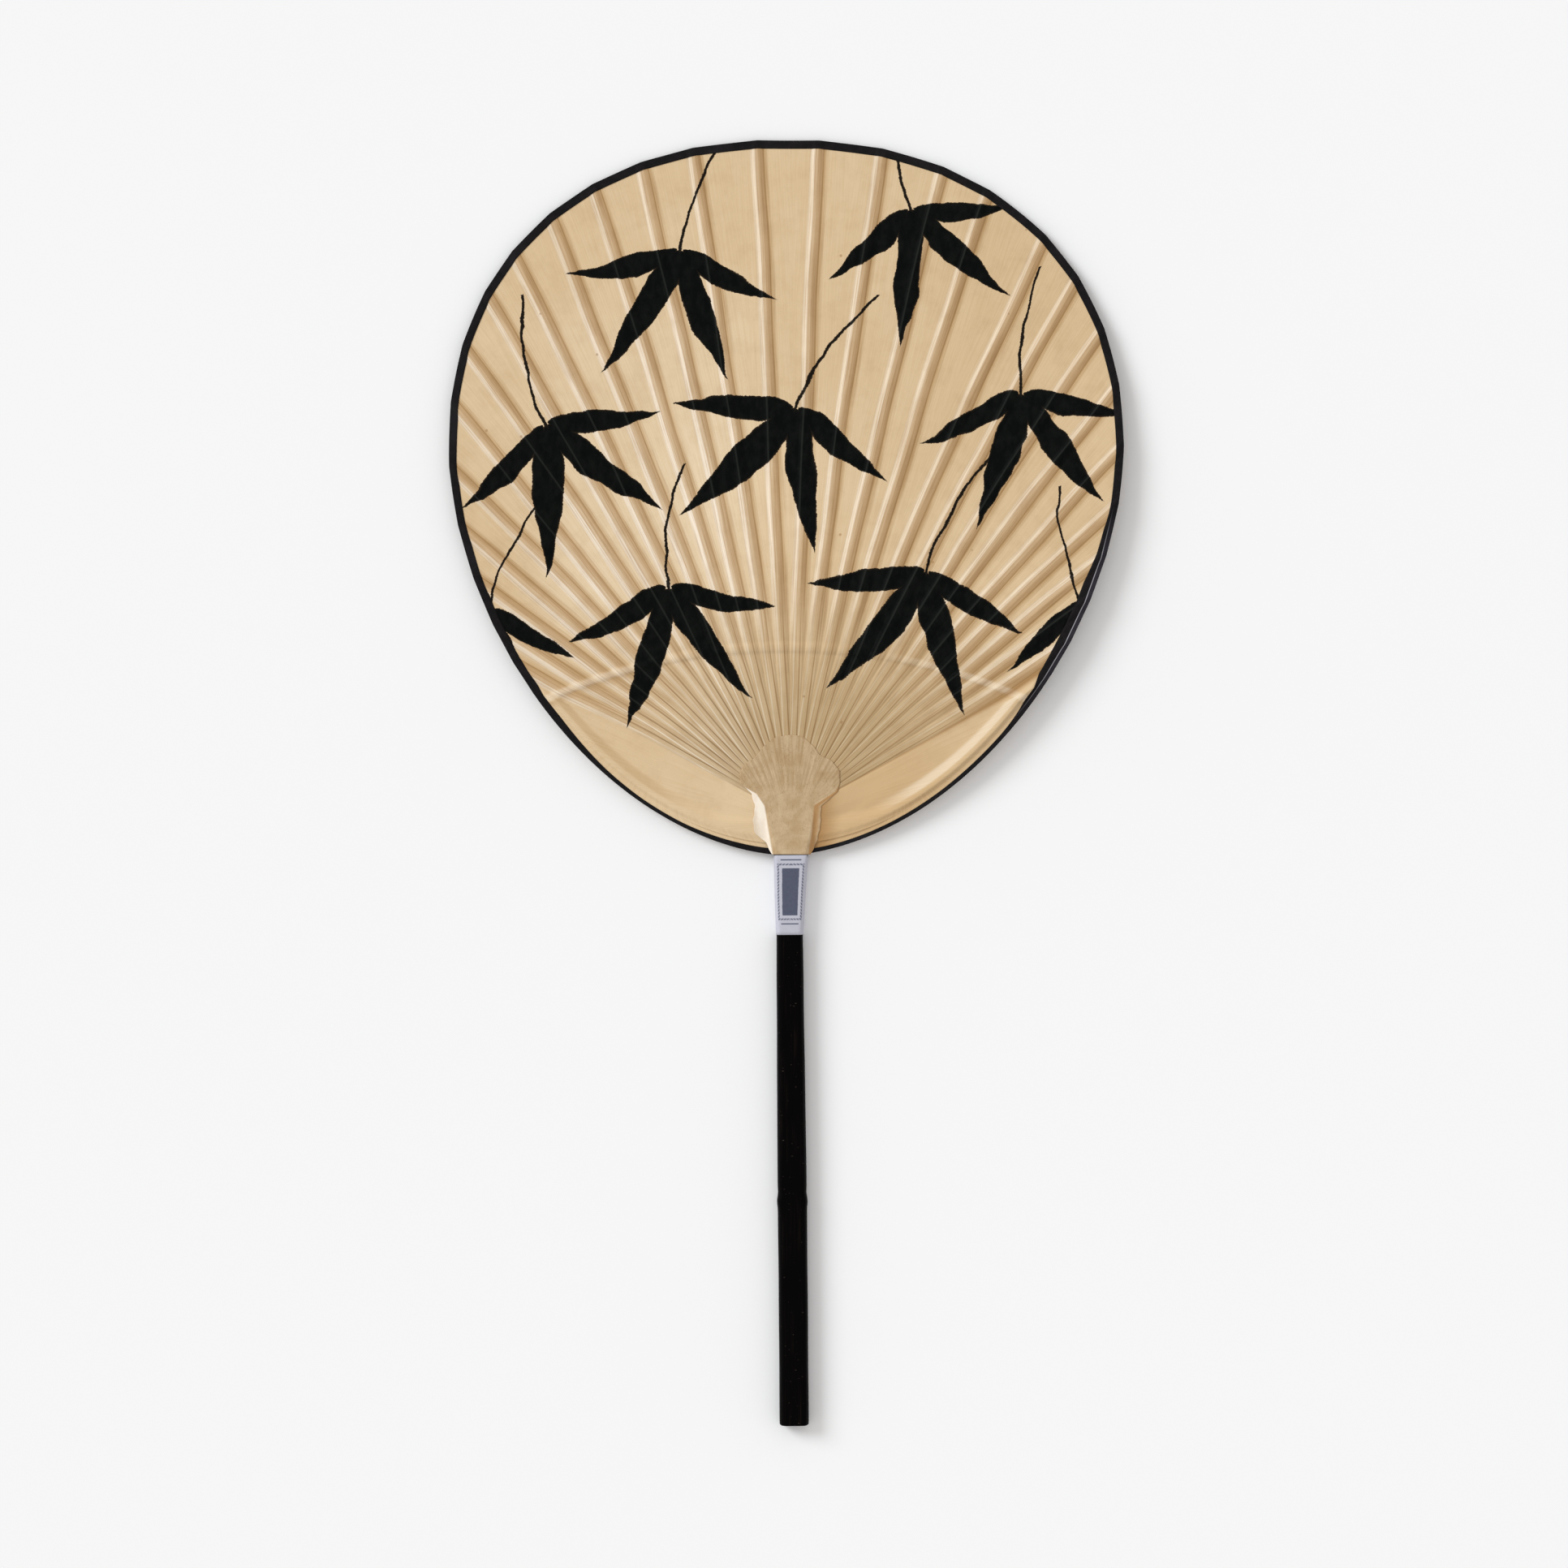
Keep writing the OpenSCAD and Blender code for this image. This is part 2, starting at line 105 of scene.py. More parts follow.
def grid_faces(rows, columns, first=0, ring=False):
    """Quads over a grid of points; a ring joins its last column to its first."""
    wide = columns if ring else columns - 1
    start, c = np.meshgrid(np.arange(rows - 1) * columns, np.arange(wide), indexing="ij")
    d = (c + 1) % columns
    quads = np.stack([start + c, start + d, start + columns + d, start + columns + c], -1)
    return quads.reshape(-1, 4) + first


def tube(loops):
    """Faces of a tube over loops of equal length, closed by a flat cap at both ends."""
    rows, columns = loops.shape[:2]
    faces = grid_faces(rows, columns, ring=True).tolist()
    faces.append(list(range(columns))[::-1])
    faces.append(list(range((rows - 1) * columns, rows * columns)))
    return faces


def stem_r(y):
    """Half the width of the bamboo: even to its node, pared to the label, widening to the head."""
    above = y - HUB.imag
    return np.where(above < 0.0, np.interp(y, STEM_AT, STEM_R),
                    np.sqrt(np.clip(HEAD_R ** 2 - above ** 2, 0.01, None)))


def stem_half_t(y):
    """Half its thickness: a little less under the label, and pared down to the head's end."""
    under_label = LABEL_SEAT * blend_in((y - LABEL_Y) / 6.0 + 1.0)
    run = HUB.imag - NECK_Y + HEAD_R + PARED_BELOW
    return MID_Z - under_label - HEAD_PARED * blend_in((y - NECK_Y + PARED_BELOW) / run)


def on_handle(x, y, z):
    """Puts a point of the upright handle where the leaning, slightly bent handle has it."""
    up = y - HUB.imag
    x = x + np.interp(y, BEND_AT, BEND)
    return np.stack([HUB.real + x * math.cos(LEAN) - up * math.sin(LEAN),
                     HUB.imag + x * math.sin(LEAN) + up * math.cos(LEAN), MID_Z + z], -1)


def flattened(half_w, half_t, turn):
    """Points of a section with a circle's sides and softened flats above and below."""
    z = half_w * np.sin(turn) / half_t
    return half_w * np.cos(turn), half_t * z / (1.0 + np.abs(z) ** FLATNESS) ** (1.0 / FLATNESS)


def stem_loops(y, half_w, half_t):
    """The bamboo's sections at heights y, each a ring of points."""
    turn = np.linspace(0.0, 2.0 * np.pi, 72, endpoint=False)[None, :]
    x, z = flattened(half_w[:, None], half_t[:, None], turn)
    return on_handle(x, y[:, None] + 0.0 * x, z)


butt = np.radians([0, 20, 40, 60, 80])
heights = np.concatenate([BUTT_ROUND * (1.0 - np.cos(butt)), np.arange(1.5, NODE_Y - 5, 2.5),
                          np.linspace(NODE_Y - 5, NODE_Y + 5, 21),
                          np.arange(NODE_Y + 7, 208.0, 2.5),
                          HUB.imag + HEAD_R * np.sin(np.radians(np.linspace(-75, 89, 22)))])
heights = np.sort(heights)
pared = np.concatenate([1.0 - np.sin(butt), np.zeros(len(heights) - len(butt))])
past_node = heights - NODE_Y
node_swell = 0.26 * np.exp(-(past_node / 2.0) ** 2) - 0.12 * np.exp(-((past_node - 3.2) / 1.6) ** 2)
knife = 0.05 * uneven(heights / 9.0, 0.0 * heights, GRAIN_SEED) * (heights > 3.0)
loops = stem_loops(heights, stem_r(heights) - BUTT_ROUND * pared + node_swell + knife,
                   stem_half_t(heights) - 0.5 * pared + 0.4 * np.minimum(node_swell, 0.0))
handle = to_mesh("bamboo_handle", loops, tube(loops))


def paint(red, green, blue):
    """A colour as it looks on a screen, 0 to 255, in the linear values that a shader takes."""
    channels = [c / 255.0 for c in (red, green, blue)]
    return [c / 12.92 if c <= 0.04045 else ((c + 0.055) / 1.055) ** 2.4 for c in channels] + [1.0]


class Finish:
    """The nodes of one finish, added one after another."""

    def __init__(self, name, tree=None):
        if tree is None:
            self.material = bpy.data.materials.new(name)
            self.material.use_nodes = True
            tree = self.material.node_tree
            self.shader = tree.nodes["Principled BSDF"]
        self.tree = tree

    def add(self, kind, sockets=(), **settings):
        node = self.tree.nodes.new("ShaderNode" + kind)
        for key, value in settings.items():
            setattr(node, key, value)
        for key, value in dict(sockets).items():
            self.join(value, node.inputs[key])
        return node

    def join(self, value, socket):
        if isinstance(value, bpy.types.NodeSocket):
            self.tree.links.new(value, socket)
        else:
            socket.default_value = value

    def math(self, operation, *values, clamp=False):
        return self.add("Math", enumerate(values), operation=operation, use_clamp=clamp).outputs[0]

    def times(self, product, *values):
        for value in values:
            product = self.math("MULTIPLY", product, value)
        return product

    def less(self, value, taken):
        return self.math("SUBTRACT", value, taken)

    def size(self, value):
        """A value without its sign."""
        return self.math("ABSOLUTE", value)

    def place(self):
        """The place on the piece in metres, in the part's own frame."""
        return self.add("TexCoord").outputs["Object"]

    def axes(self, spot):
        """How far sideways and how far up a place is."""
        return self.add("SeparateXYZ", {0: spot}).outputs[:2]

    def lay(self):
        """The two measures that the mesh carries in its map of that name."""
        return self.axes(self.add("UVMap", uv_map="lay").outputs[0])

    def vector(self, operation, spot, *other):
        return self.add("VectorMath", {0: spot, 1: other}, operation=operation).outputs

    def stretched(self, spot, x, y, z):
        return self.vector("MULTIPLY", spot, x, y, z)[0]

    def distance(self, spot, x, y, z):
        return self.vector("DISTANCE", spot, x, y, z)["Value"]

    def noise(self, spot, scale, detail=3.0, rough=0.55, bend=0.0):
        """Noise at one scale, or at three along the part's own directions."""
        if isinstance(scale, tuple):
            spot, scale = self.stretched(spot, *scale), 1.0
        return self.add("TexNoise", {"Vector": spot, "Scale": scale, "Detail": detail,
                                     "Roughness": rough, "Distortion": bend}).outputs["Fac"]

    def ramp(self, value, low, high, start=0.0, end=1.0):
        """start below low, end above high, and a smooth change between."""
        return self.add("MapRange", {"Value": value, "From Min": low, "From Max": high,
                                     "To Min": start, "To Max": end},
                        interpolation_type="SMOOTHSTEP").outputs["Result"]

    def fade(self, value, low, high, start=1.0):
        """start below low and nothing above high."""
        return self.ramp(value, low, high, start, 0.0)

    def mixed(self, amount, first, second, way="MIX"):
        mix = self.add("Mix", data_type="RGBA", blend_type=way)
        for socket, value in ((0, amount), (6, first), (7, second)):
            self.join(value, mix.inputs[socket])
        return mix.outputs[2]

    def base(self, amount, first, second):
        self.colour = self.mixed(amount, paint(*first), paint(*second))

    def coat(self, amount, red, green, blue):
        """Lays a colour over what is there, as far as amount says."""
        self.colour = self.mixed(amount, self.colour, paint(red, green, blue))

    def tint(self, amount, red, green, blue):
        """Dims or lifts what is there by three factors, as far as amount says."""
        self.colour = self.mixed(amount, self.colour, (red, green, blue, 1.0), "MULTIPLY")

    def bands(self, value, stops):
        """Colours one after another along a value, each shading into the next."""
        low, high = stops[0][0], stops[-1][0]
        ramp = self.add("ValToRGB", {0: self.math("DIVIDE", self.less(value, low), high - low)})
        elements = ramp.color_ramp.elements
        elements[0].color, elements[-1].color = paint(*stops[0][1:]), paint(*stops[-1][1:])
        for at, *colour in stops[1:-1]:
            elements.new((at - low) / (high - low)).color = paint(*colour)
        return ramp.outputs[0]

    def bumps(self, height, depth, strength=1.0):
        bump = self.add("Bump", {"Height": height, "Distance": depth, "Strength": strength})
        self.tree.links.new(bump.outputs[0], self.shader.inputs["Normal"])

    def surface(self, roughness, **sockets):
        self.join(self.colour, self.shader.inputs["Base Color"])
        self.join(roughness, self.shader.inputs["Roughness"])
        for key, value in sockets.items():
            self.join(value, self.shader.inputs[key.replace("_", " ")])
        return self.material


lacquer = Finish("black_lacquer")
spot = lacquer.place()
fibre = lacquer.noise(spot, (2600.0, 28.0, 2600.0), 4.0)
patchy = lacquer.noise(spot, (260.0, 60.0, 260.0), 2.0)
worn = lacquer.times(lacquer.ramp(fibre, 0.52, 0.72), lacquer.ramp(patchy, 0.42, 0.7))
scratch = lacquer.noise(spot, (700.0, 3200.0, 700.0), 1.0)
scratch = lacquer.ramp(scratch, 0.76, 0.79, 0.0, 0.35)
lacquer.base(worn, (4, 3, 3), (24, 17, 15))
lacquer.coat(scratch, 120, 108, 98)
lacquer.bumps(fibre, 0.00008, 0.6)
sheen = lacquer.ramp(patchy, 0.3, 0.7, 0.34, 0.5)
handle.data.materials.append(lacquer.surface(sheen, Specular_IOR_Level=0.02))
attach(handle, "root")
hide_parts("bamboo_frame")

# Ribs: the upper part of the same bamboo, split with a knife into twenty-seven thin ribs that stay
# joined in the head and are spread like a fan. They run as far as the paper's rim, bare and pale,
# and wander a little as split bamboo does.
TOTAL_Y = 458.0
FACE_A, FACE_H, WIDE_Y = 120.0, 254.6, 144.4
CROWN_POWER, BOWL_POWER, BOWL_ROOT = 2.22, 1.79, 0.56
DROOP, CURL_RIGHT, CURL_LEFT = 2.1, 8.5, 2.5
FAN = HUB - 7.2j
THREAD_Y, THREAD_SAG, BOW_REACH = 277.2, 17.7, 84.0
THREAD_R = (BOW_REACH ** 2 + THREAD_SAG ** 2) / (2.0 * THREAD_SAG)
RIBS = 27
RIB_STEP = 113.5 / (RIBS - 1)
RIB_W, RIB_HALF_T, ROOT_HALF_T, RIB_TAPER, RIB_SHORT = 1.8, 0.45, 1.5, 21.0, 2.2
RIB_SECTION = [(1.0, 0.6), (0.8, 1.0), (-0.8, 1.0), (-1.0, 0.6),
               (-1.0, -0.6), (-0.8, -1.0), (0.8, -1.0), (1.0, -0.6)]
CLEAR = 0.08


def half_width(h):
    """Half the width of the face at a height above the neck: a crown over a bowl."""
    over = np.clip((h - WIDE_Y) / (FACE_H - WIDE_Y), 0.0, 1.0)
    under = np.clip(1.0 - h / WIDE_Y, 0.0, 1.0)
    crown = FACE_A * (1.0 - over ** CROWN_POWER) ** (1.0 / CROWN_POWER)
    bowl = FACE_A * (1.0 - under ** BOWL_POWER) ** BOWL_ROOT
    return np.where(h >= WIDE_Y, crown, bowl)


def middle(p):
    """Height of the middle of the face: it droops to the top and curls up at the sides."""
    u = (p.imag - HUB.imag) / (TOTAL_Y - HUB.imag)
    curl = np.where(p.real > 0, CURL_RIGHT, CURL_LEFT)
    sideways = (p.real / FACE_A) ** 2
    return MID_Z - DROOP * u * np.abs(u) + curl * sideways * (1.0 - np.maximum(0.0, u))


def heading(angle):
    return np.sin(np.radians(angle)) + 1j * np.cos(np.radians(angle))


# Angle of every rib just past the thread, and how far it turns on its way to the rim, in degrees;
# the first and the last stand for the open ends beside the outermost ribs.
RIB_LOW = [-60.7, -56.9, -53.2, -49.1, -45.3, -41.0, -37.0, -32.5, -28.8, -25.1, -20.9, -16.3,
           -12.1, -7.4, -2.8, 2.0, 6.7, 11.8, 16.4, 21.3, 25.7, 30.2, 34.3, 38.8, 42.9, 46.8,
           50.6, 55.1, 59.2]
RIB_TURN = [-4.7, -4.7, -5.2, -4.1, -3.3, -2.5, -1.4, -1.3, -0.6, -0.3, -0.3, -0.6, -0.4, -0.7,
            0.1, 0.3, 0.8, 1.0, 0.6, 1.7, 1.6, 1.6, 2.1, 2.4, 3.1, 3.0, 3.3, 0.5, 0.5]


def rib_angle(i, far=150.0):
    return RIB_LOW[i + 1] + RIB_TURN[i + 1] * (np.clip(far, 62.0, 250.0) - 80.0) / 150.0


def at_thread(angle):
    """Where a ray of the fan meets the thread's arc."""
    w = FAN - 1j * (THREAD_Y - THREAD_R)
    b = (w * np.conj(heading(angle))).real
    return FAN + (np.sqrt(b * b - abs(w) ** 2 + THREAD_R ** 2) - b) * heading(angle)


def at_head(angle):
    away = at_thread(angle) - HUB
    return HUB + (HEAD_R + CLEAR) * away / np.abs(away)


def at_edge(angle):
    """Where a ray of the fan meets the outline, found by halving."""
    low, high = np.zeros(np.shape(angle)), np.full(np.shape(angle), TOTAL_Y)
    for _ in range(30):
        half = (low + high) / 2.0
        p = FAN + half * heading(angle)
        h = p.imag - NECK_Y
        inside = (h > 0.0) & (h < FACE_H) & (np.abs(p.real) < half_width(h))
        low, high = np.where(inside, half, low), np.where(inside, high, half)
    return FAN + low * heading(angle)


def on_legs(start, thread, edge, s):
    """A point of the two straight legs from a start to the thread and on to the edge."""
    inner = start + (thread - start) * np.minimum(s, 1.0)
    return np.where(s < 1.0, inner, thread + (edge - thread) * np.maximum(s - 1.0, 0.0))


def along(angle, s):
    """A point of a ray: s is 0 at the head, 1 on the thread and 2 at the outline."""
    return on_legs(at_head(angle), at_thread(angle), at_edge(angle), s)


def spread(angle, s):
    """How far a point of a ray is from where the ribs seem to meet."""
    p, t = along(angle, s), at_thread(angle)
    inner = np.abs(p - HUB) * np.abs(t - FAN) / np.abs(t - HUB)
    return np.where(s < 1.0, inner, np.abs(p - FAN))


def wander(i, far):
    """How far a rib strays sideways, in millimetres."""
    strays = 0.32 * np.sin(far / 23.0 + 2.4 * i) + 0.16 * np.sin(far / 9.0 + 5.1 * i)
    return strays * np.clip((far - 30.0) / 120.0, 0.0, 1.0)


def in_space(p, z):
    return np.stack([p.real, p.imag, z], -1)


rib_points, rib_faces = [], []
for i in range(RIBS):
    end = 2.0 - RIB_SHORT / abs(at_edge(rib_angle(i)) - at_thread(rib_angle(i)))
    stations = np.concatenate([[-0.15], np.linspace(0.0, 1.0, 14)[:-1], np.linspace(1.0, end, 26)])
    far = spread(np.full(stations.shape, rib_angle(i)), stations)
    angle = rib_angle(i, far)
    half_w = np.minimum(RIB_W, 0.76 * far * math.radians(RIB_STEP)) / 2.0
    turn = np.degrees(wander(i, far) / far)
    centre = along(angle + turn, stations)
    side = heading(angle + turn + 90.0)
    from_head = np.abs(centre - at_head(angle)) * (stations > 0.0)
    half_t = ROOT_HALF_T + (RIB_HALF_T - ROOT_HALF_T) * np.clip(from_head / RIB_TAPER, 0.0, 1.0)
    places = [centre + side * half_w * a for a, b in RIB_SECTION]
    levels = [middle(centre) + half_t * b for a, b in RIB_SECTION]
    loops = np.stack([in_space(p, z) for p, z in zip(places, levels)], 1)
    first = len(rib_points) * loops.shape[0] * loops.shape[1]
    rib_faces += [[first + v for v in face] for face in tube(loops)]
    rib_points.append(loops)
ribs = to_mesh("bamboo_ribs", np.concatenate([p.reshape(-1, 3) for p in rib_points]), rib_faces)

bare = Finish("bare_bamboo")
spot = bare.place()
fibre = bare.noise(spot, (3000.0, 90.0, 3000.0), 5.0, 0.65)
blotch = bare.noise(spot, 60.0, 3.0)
bare.base(bare.ramp(fibre, 0.3, 0.7), (196, 165, 112), (219, 192, 142))
bare.coat(bare.ramp(blotch, 0.45, 0.75, 0.0, 0.5), 176, 140, 88)
bare.bumps(fibre, 0.0001, 0.7)
bare_bamboo = bare.surface(bare.ramp(fibre, 0.3, 0.7, 0.5, 0.65), Specular_IOR_Level=0.4)
ribs.data.materials.append(bare_bamboo)
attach(ribs, "root")
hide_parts("bamboo_frame")

# Bow and weaving thread: a shaved bamboo strip pushed through a hole in the head, its ends pulled
# up by the cotton thread that is twined over and under the ribs and tied off on it. Both lie
# between the two sheets, which show them as soft humps.
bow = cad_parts["bow"]
bow.data.materials.clear()
bow.data.materials.append(bare_bamboo)

cotton = Finish("cotton_thread")
spot = cotton.place()
twist = cotton.add("TexWave", {"Vector": spot, "Scale": 900.0, "Distortion": 1.5, "Detail": 2.0},
                   bands_direction="DIAGONAL").outputs["Fac"]
fluff = cotton.noise(spot, 2500.0, 3.0)
cotton.base(twist, (205, 196, 175), (232, 226, 210))
cotton.coat(cotton.ramp(fluff, 0.5, 0.8, 0.0, 0.4), 190, 178, 150)
cotton.bumps(twist, 0.00015)
cotton_thread = cotton.surface(cotton.ramp(fluff, 0.3, 0.7, 0.8, 0.95), Sheen_Weight=0.3)

THREAD_D, TWINE_STEP = 0.5, 0.3
KNOT_ROOM = 0.6
across = np.arange(-BOW_REACH + KNOT_ROOM, BOW_REACH - KNOT_ROOM, TWINE_STEP)
path = across + 1j * (THREAD_Y - THREAD_R + np.sqrt(THREAD_R ** 2 - across ** 2))
rib_x = np.array([at_thread(rib_angle(i, 70.0)).real for i in range(RIBS)])
nearest = np.argmin(np.abs(across[:, None] - rib_x), axis=1)
off_rib = np.abs(across - rib_x[nearest])
climb = (RIB_HALF_T + THREAD_D / 2.0 + 0.05) * blend_in(1.0 - (off_rib - 0.95) / 1.3)
level = middle(path) + climb * np.where(nearest % 2, -1.0, 1.0)
way = np.gradient(path) / np.abs(np.gradient(path))
turns = np.linspace(0.0, 2.0 * np.pi, 8, endpoint=False)
ply = [path + 1j * way * THREAD_D / 2.0 * math.cos(t) for t in turns]
loops = np.stack([in_space(q, level + THREAD_D / 2.0 * math.sin(t)) for q, t in zip(ply, turns)], 1)
thread = to_mesh("cotton_thread", loops, tube(loops))
thread.data.materials.append(cotton_thread)
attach(thread, "root")
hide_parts("weaving_thread")

# Face sheets: two pieces of handmade mulberry paper pasted over the ribs, front and back, and on to
# each other between the ribs. Brushed down while damp, they stand over every rib in a ridge with a
# steep left flank and a long right one, sink between the ribs and hump over the thread and the bow.
PAPER_T, PASTE = 0.2, 0.05
BOW_T, BOW_W, BOW_ROOM = 1.5, 3.0, 0.45
BOW_Y = NECK_Y + 6.8
BOW_LIFT, BOW_POWER = 49.3, 2.16
# The rim strip's width: over the top, more where it is turned up, as a share of that by the ribs'
# angles at the far left, and along the lower edge from the outermost rib, 0, to the neck, 1.
RIM_W, RIM_TURNED = 2.75, 1.5
RIM_EASED_AT = [-60.4, -59.5, -58.0, -57.3, -56.6, -55.0, -53.3, -52.0]
RIM_EASED = [0.58, 0.69, 0.73, 0.78, 0.84, 0.88, 0.95, 1.0]
RIM_LOW_AT = [0.0, 0.06, 0.17, 0.29, 0.42, 0.6, 0.82, 1.0]
RIM_LOW_LEFT = [2.75, 2.65, 2.0, 1.35, 1.12, 1.2, 1.8, 2.0]
RIM_LOW_RIGHT = [2.75, 2.1, 1.45, 1.35, 1.2, 1.18, 1.3, 1.4]
SIDE_LINES, SIDE_PITCH = 40, 1.6
CORNER, BESIDE_STEM = 6.3, 0.3
HUMP_REACH = 5.0
LAY_STEP = 300.0
# Lines of a bay by their distance from the rib at its left and at its right, and the height of a
# ridge, as a share of the rib's, by the distance from its rib.
RIGHT_FOOT = np.array([0.0, 0.45, 0.9, 1.35, 1.8, 2.15, 2.4, 2.7, 3.2])
LEFT_FOOT = np.array([2.7, 2.3, 1.9, 1.55, 1.25, 0.9, 0.45, 0.0])
FLAT_LINES = 4
RIDGE_AT = [-2.7, -2.3, -1.8, -1.25, -1.0, 0.1, 0.75, 1.3, 1.8, 2.1, 2.6, 3.4, 5.0, 7.0, 9.0]
RIDGE_UP = [0.0, 0.1, 0.8, 1.5, 1.5, 1.38, 1.02, 0.64, 0.24, -0.02, -0.08, -0.02, 0.1, 0.18, 0.1]
NEAR = np.array([1.0, 0.78, 0.62, 0.5, 0.4, 0.28, 0.15, 0.0])
NEAR_REACH = 5.0
RIM_ROWS = np.array([1.25, 1.0, 0.8, 0.6, 0.4, 0.2, 0.0])


def turned(angle):
    """Where the strip's outside shows at the curled-up right edge, from 0 to 1."""
    return blend_in((angle - 44.0) / 6.0) * blend_in((63.0 - angle) / 9.0)


def slant(leg, way):
    """Share of a leg that goes straight across a line."""
    return np.clip(np.abs((leg / np.abs(leg) * np.conj(way / np.abs(way))).imag), 0.3, 1.0)


def row_places(lower, upper, before, after, strip):
    """Rows of a line from its two lengths: close by the thread and the rim, even between."""
    strip_share = np.minimum(strip / upper, 0.6)
    near_in = np.minimum(before / lower, 0.4) * NEAR[:, None]
    most_out = np.minimum(0.4, 0.9 - 1.12 * strip_share)
    near_out = np.minimum(after / upper, most_out) * NEAR[::-1, None]
    rim = strip_share * RIM_ROWS[:, None]
    inner = np.linspace(0.0, 1.0, 20)[:-1, None] * (1.0 - near_in[0])
    share = np.linspace(0.0, 1.0, 58)[1:-1, None]
    outer = 1.0 + near_out[-1] + share * (1.0 - near_out[-1] - rim[0])
    return np.concatenate([inner, 1.0 - near_in, 1.0 + near_out[1:], outer, 2.0 - rim])


def ridge_height(u, gap, i, far):
    """Height over a rib, as a share of the rib's: a ridge, or flat strips where ribs crowd."""
    sharp = 1.0 + 0.22 * np.sin(far / 31.0 + 1.9 * i) + 0.1 * np.sin(far / 8.0 + 4.3 * i)
    ridge = np.interp(u, RIDGE_AT, RIDGE_UP)
    ridge = np.where(ridge > 1.1, 1.1 + (ridge - 1.1) * sharp, ridge)
    groove = np.exp(-((gap / 2.0 - np.abs(u)) / (0.06 * gap + 0.1)) ** 2)
    groove = groove * (0.14 + 0.5 * blend_in((gap - 2.0) / 5.0))
    crowded = 1.02 - groove - 0.06 * np.clip(u / gap, -0.5, 0.5)
    return crowded + (ridge - crowded) * blend_in((gap - 4.6) / 3.4)


def over_head(gone):
    """Height of a sheet's outside over a rib, by how far it is from the head."""
    thinned = (RIB_HALF_T - ROOT_HALF_T) * np.clip(gone / RIB_TAPER, 0.0, 1.0)
    return ROOT_HALF_T + CLEAR + thinned + PAPER_T


def bay(i):
    """The stretch of a sheet from rib i to the next, with its distances from the ribs."""
    fraction = np.linspace(0.0, 1.0, len(RIGHT_FOOT) + FLAT_LINES + len(LEFT_FOOT))
    nominal = rib_angle(i) + (rib_angle(i + 1) - rib_angle(i)) * fraction
    lower = np.abs(at_thread(nominal) - at_head(nominal))
    upper = np.abs(at_edge(nominal) - at_thread(nominal))
    rim_way = at_edge(nominal + 0.1) - at_edge(nominal - 0.1)
    strip = (RIM_W + RIM_TURNED * turned(nominal)) / slant(heading(nominal), rim_way)
    strip = strip * np.interp(nominal, RIM_EASED_AT, RIM_EASED)
    s = row_places(lower, upper, NEAR_REACH, NEAR_REACH, strip)
    far = spread(np.broadcast_to(nominal, s.shape), s)
    turn = rib_angle(i, far)
    pitch = rib_angle(i + 1, far) - turn
    gap = far * np.radians(pitch)
    squeeze = np.minimum(1.0, 0.94 * gap / (RIGHT_FOOT[-1] + LEFT_FOOT[0]))
    start, end = RIGHT_FOOT[-1] * squeeze, gap - LEFT_FOOT[0] * squeeze
    foot = np.concatenate([RIGHT_FOOT, np.zeros(FLAT_LINES), LEFT_FOOT]) * squeeze
    k = np.arange(len(fraction)) - len(RIGHT_FOOT)
    flats = start + (end - start) * (k + 1) / (FLAT_LINES + 1)
    off = np.where(k < 0, foot, np.where(k < FLAT_LINES, flats, gap - foot))
    part = off / gap
    stray = wander(i, far) * (1.0 - part) + wander(i + 1, far) * part
    angles = turn + pitch * part + np.degrees(stray / far)
    p = along(angles, s)
    scallop = 0.2 - 1.4 * part * (1.0 - part)
    p = p + scallop * heading(angles) * np.clip(s - 1.0, 0.0, 1.0) ** 6
    up = np.maximum(ridge_height(off, gap, i, far), ridge_height(off - gap, gap, i + 1, far))
    from_thread = np.abs(p - at_thread(angles))
    from_edge = np.abs(p - at_edge(angles))
    flat = PASTE + PAPER_T
    up = up * (0.25 + 0.75 * blend_in(from_edge / RIM_W))
    lift = flat + (over_head(np.abs(p - at_head(angles))) - flat) * up
    hump = 0.34 + 0.28 * np.clip(up, 0.0, 1.0)
    lift = lift + hump * np.exp(-(from_thread / 1.35) ** 4 / 2.0)
    cockle = 0.035 * uneven(p.real / 5.0, p.imag / 9.0, 2.0)
    lift = lift + cockle * blend_in(from_edge / 5.0) * (s > 0.3)
    return p, lift, off, gap, far


def bow_at(x):
    return x + 1j * (BOW_Y + BOW_LIFT * (np.abs(x) / BOW_REACH) ** BOW_POWER)


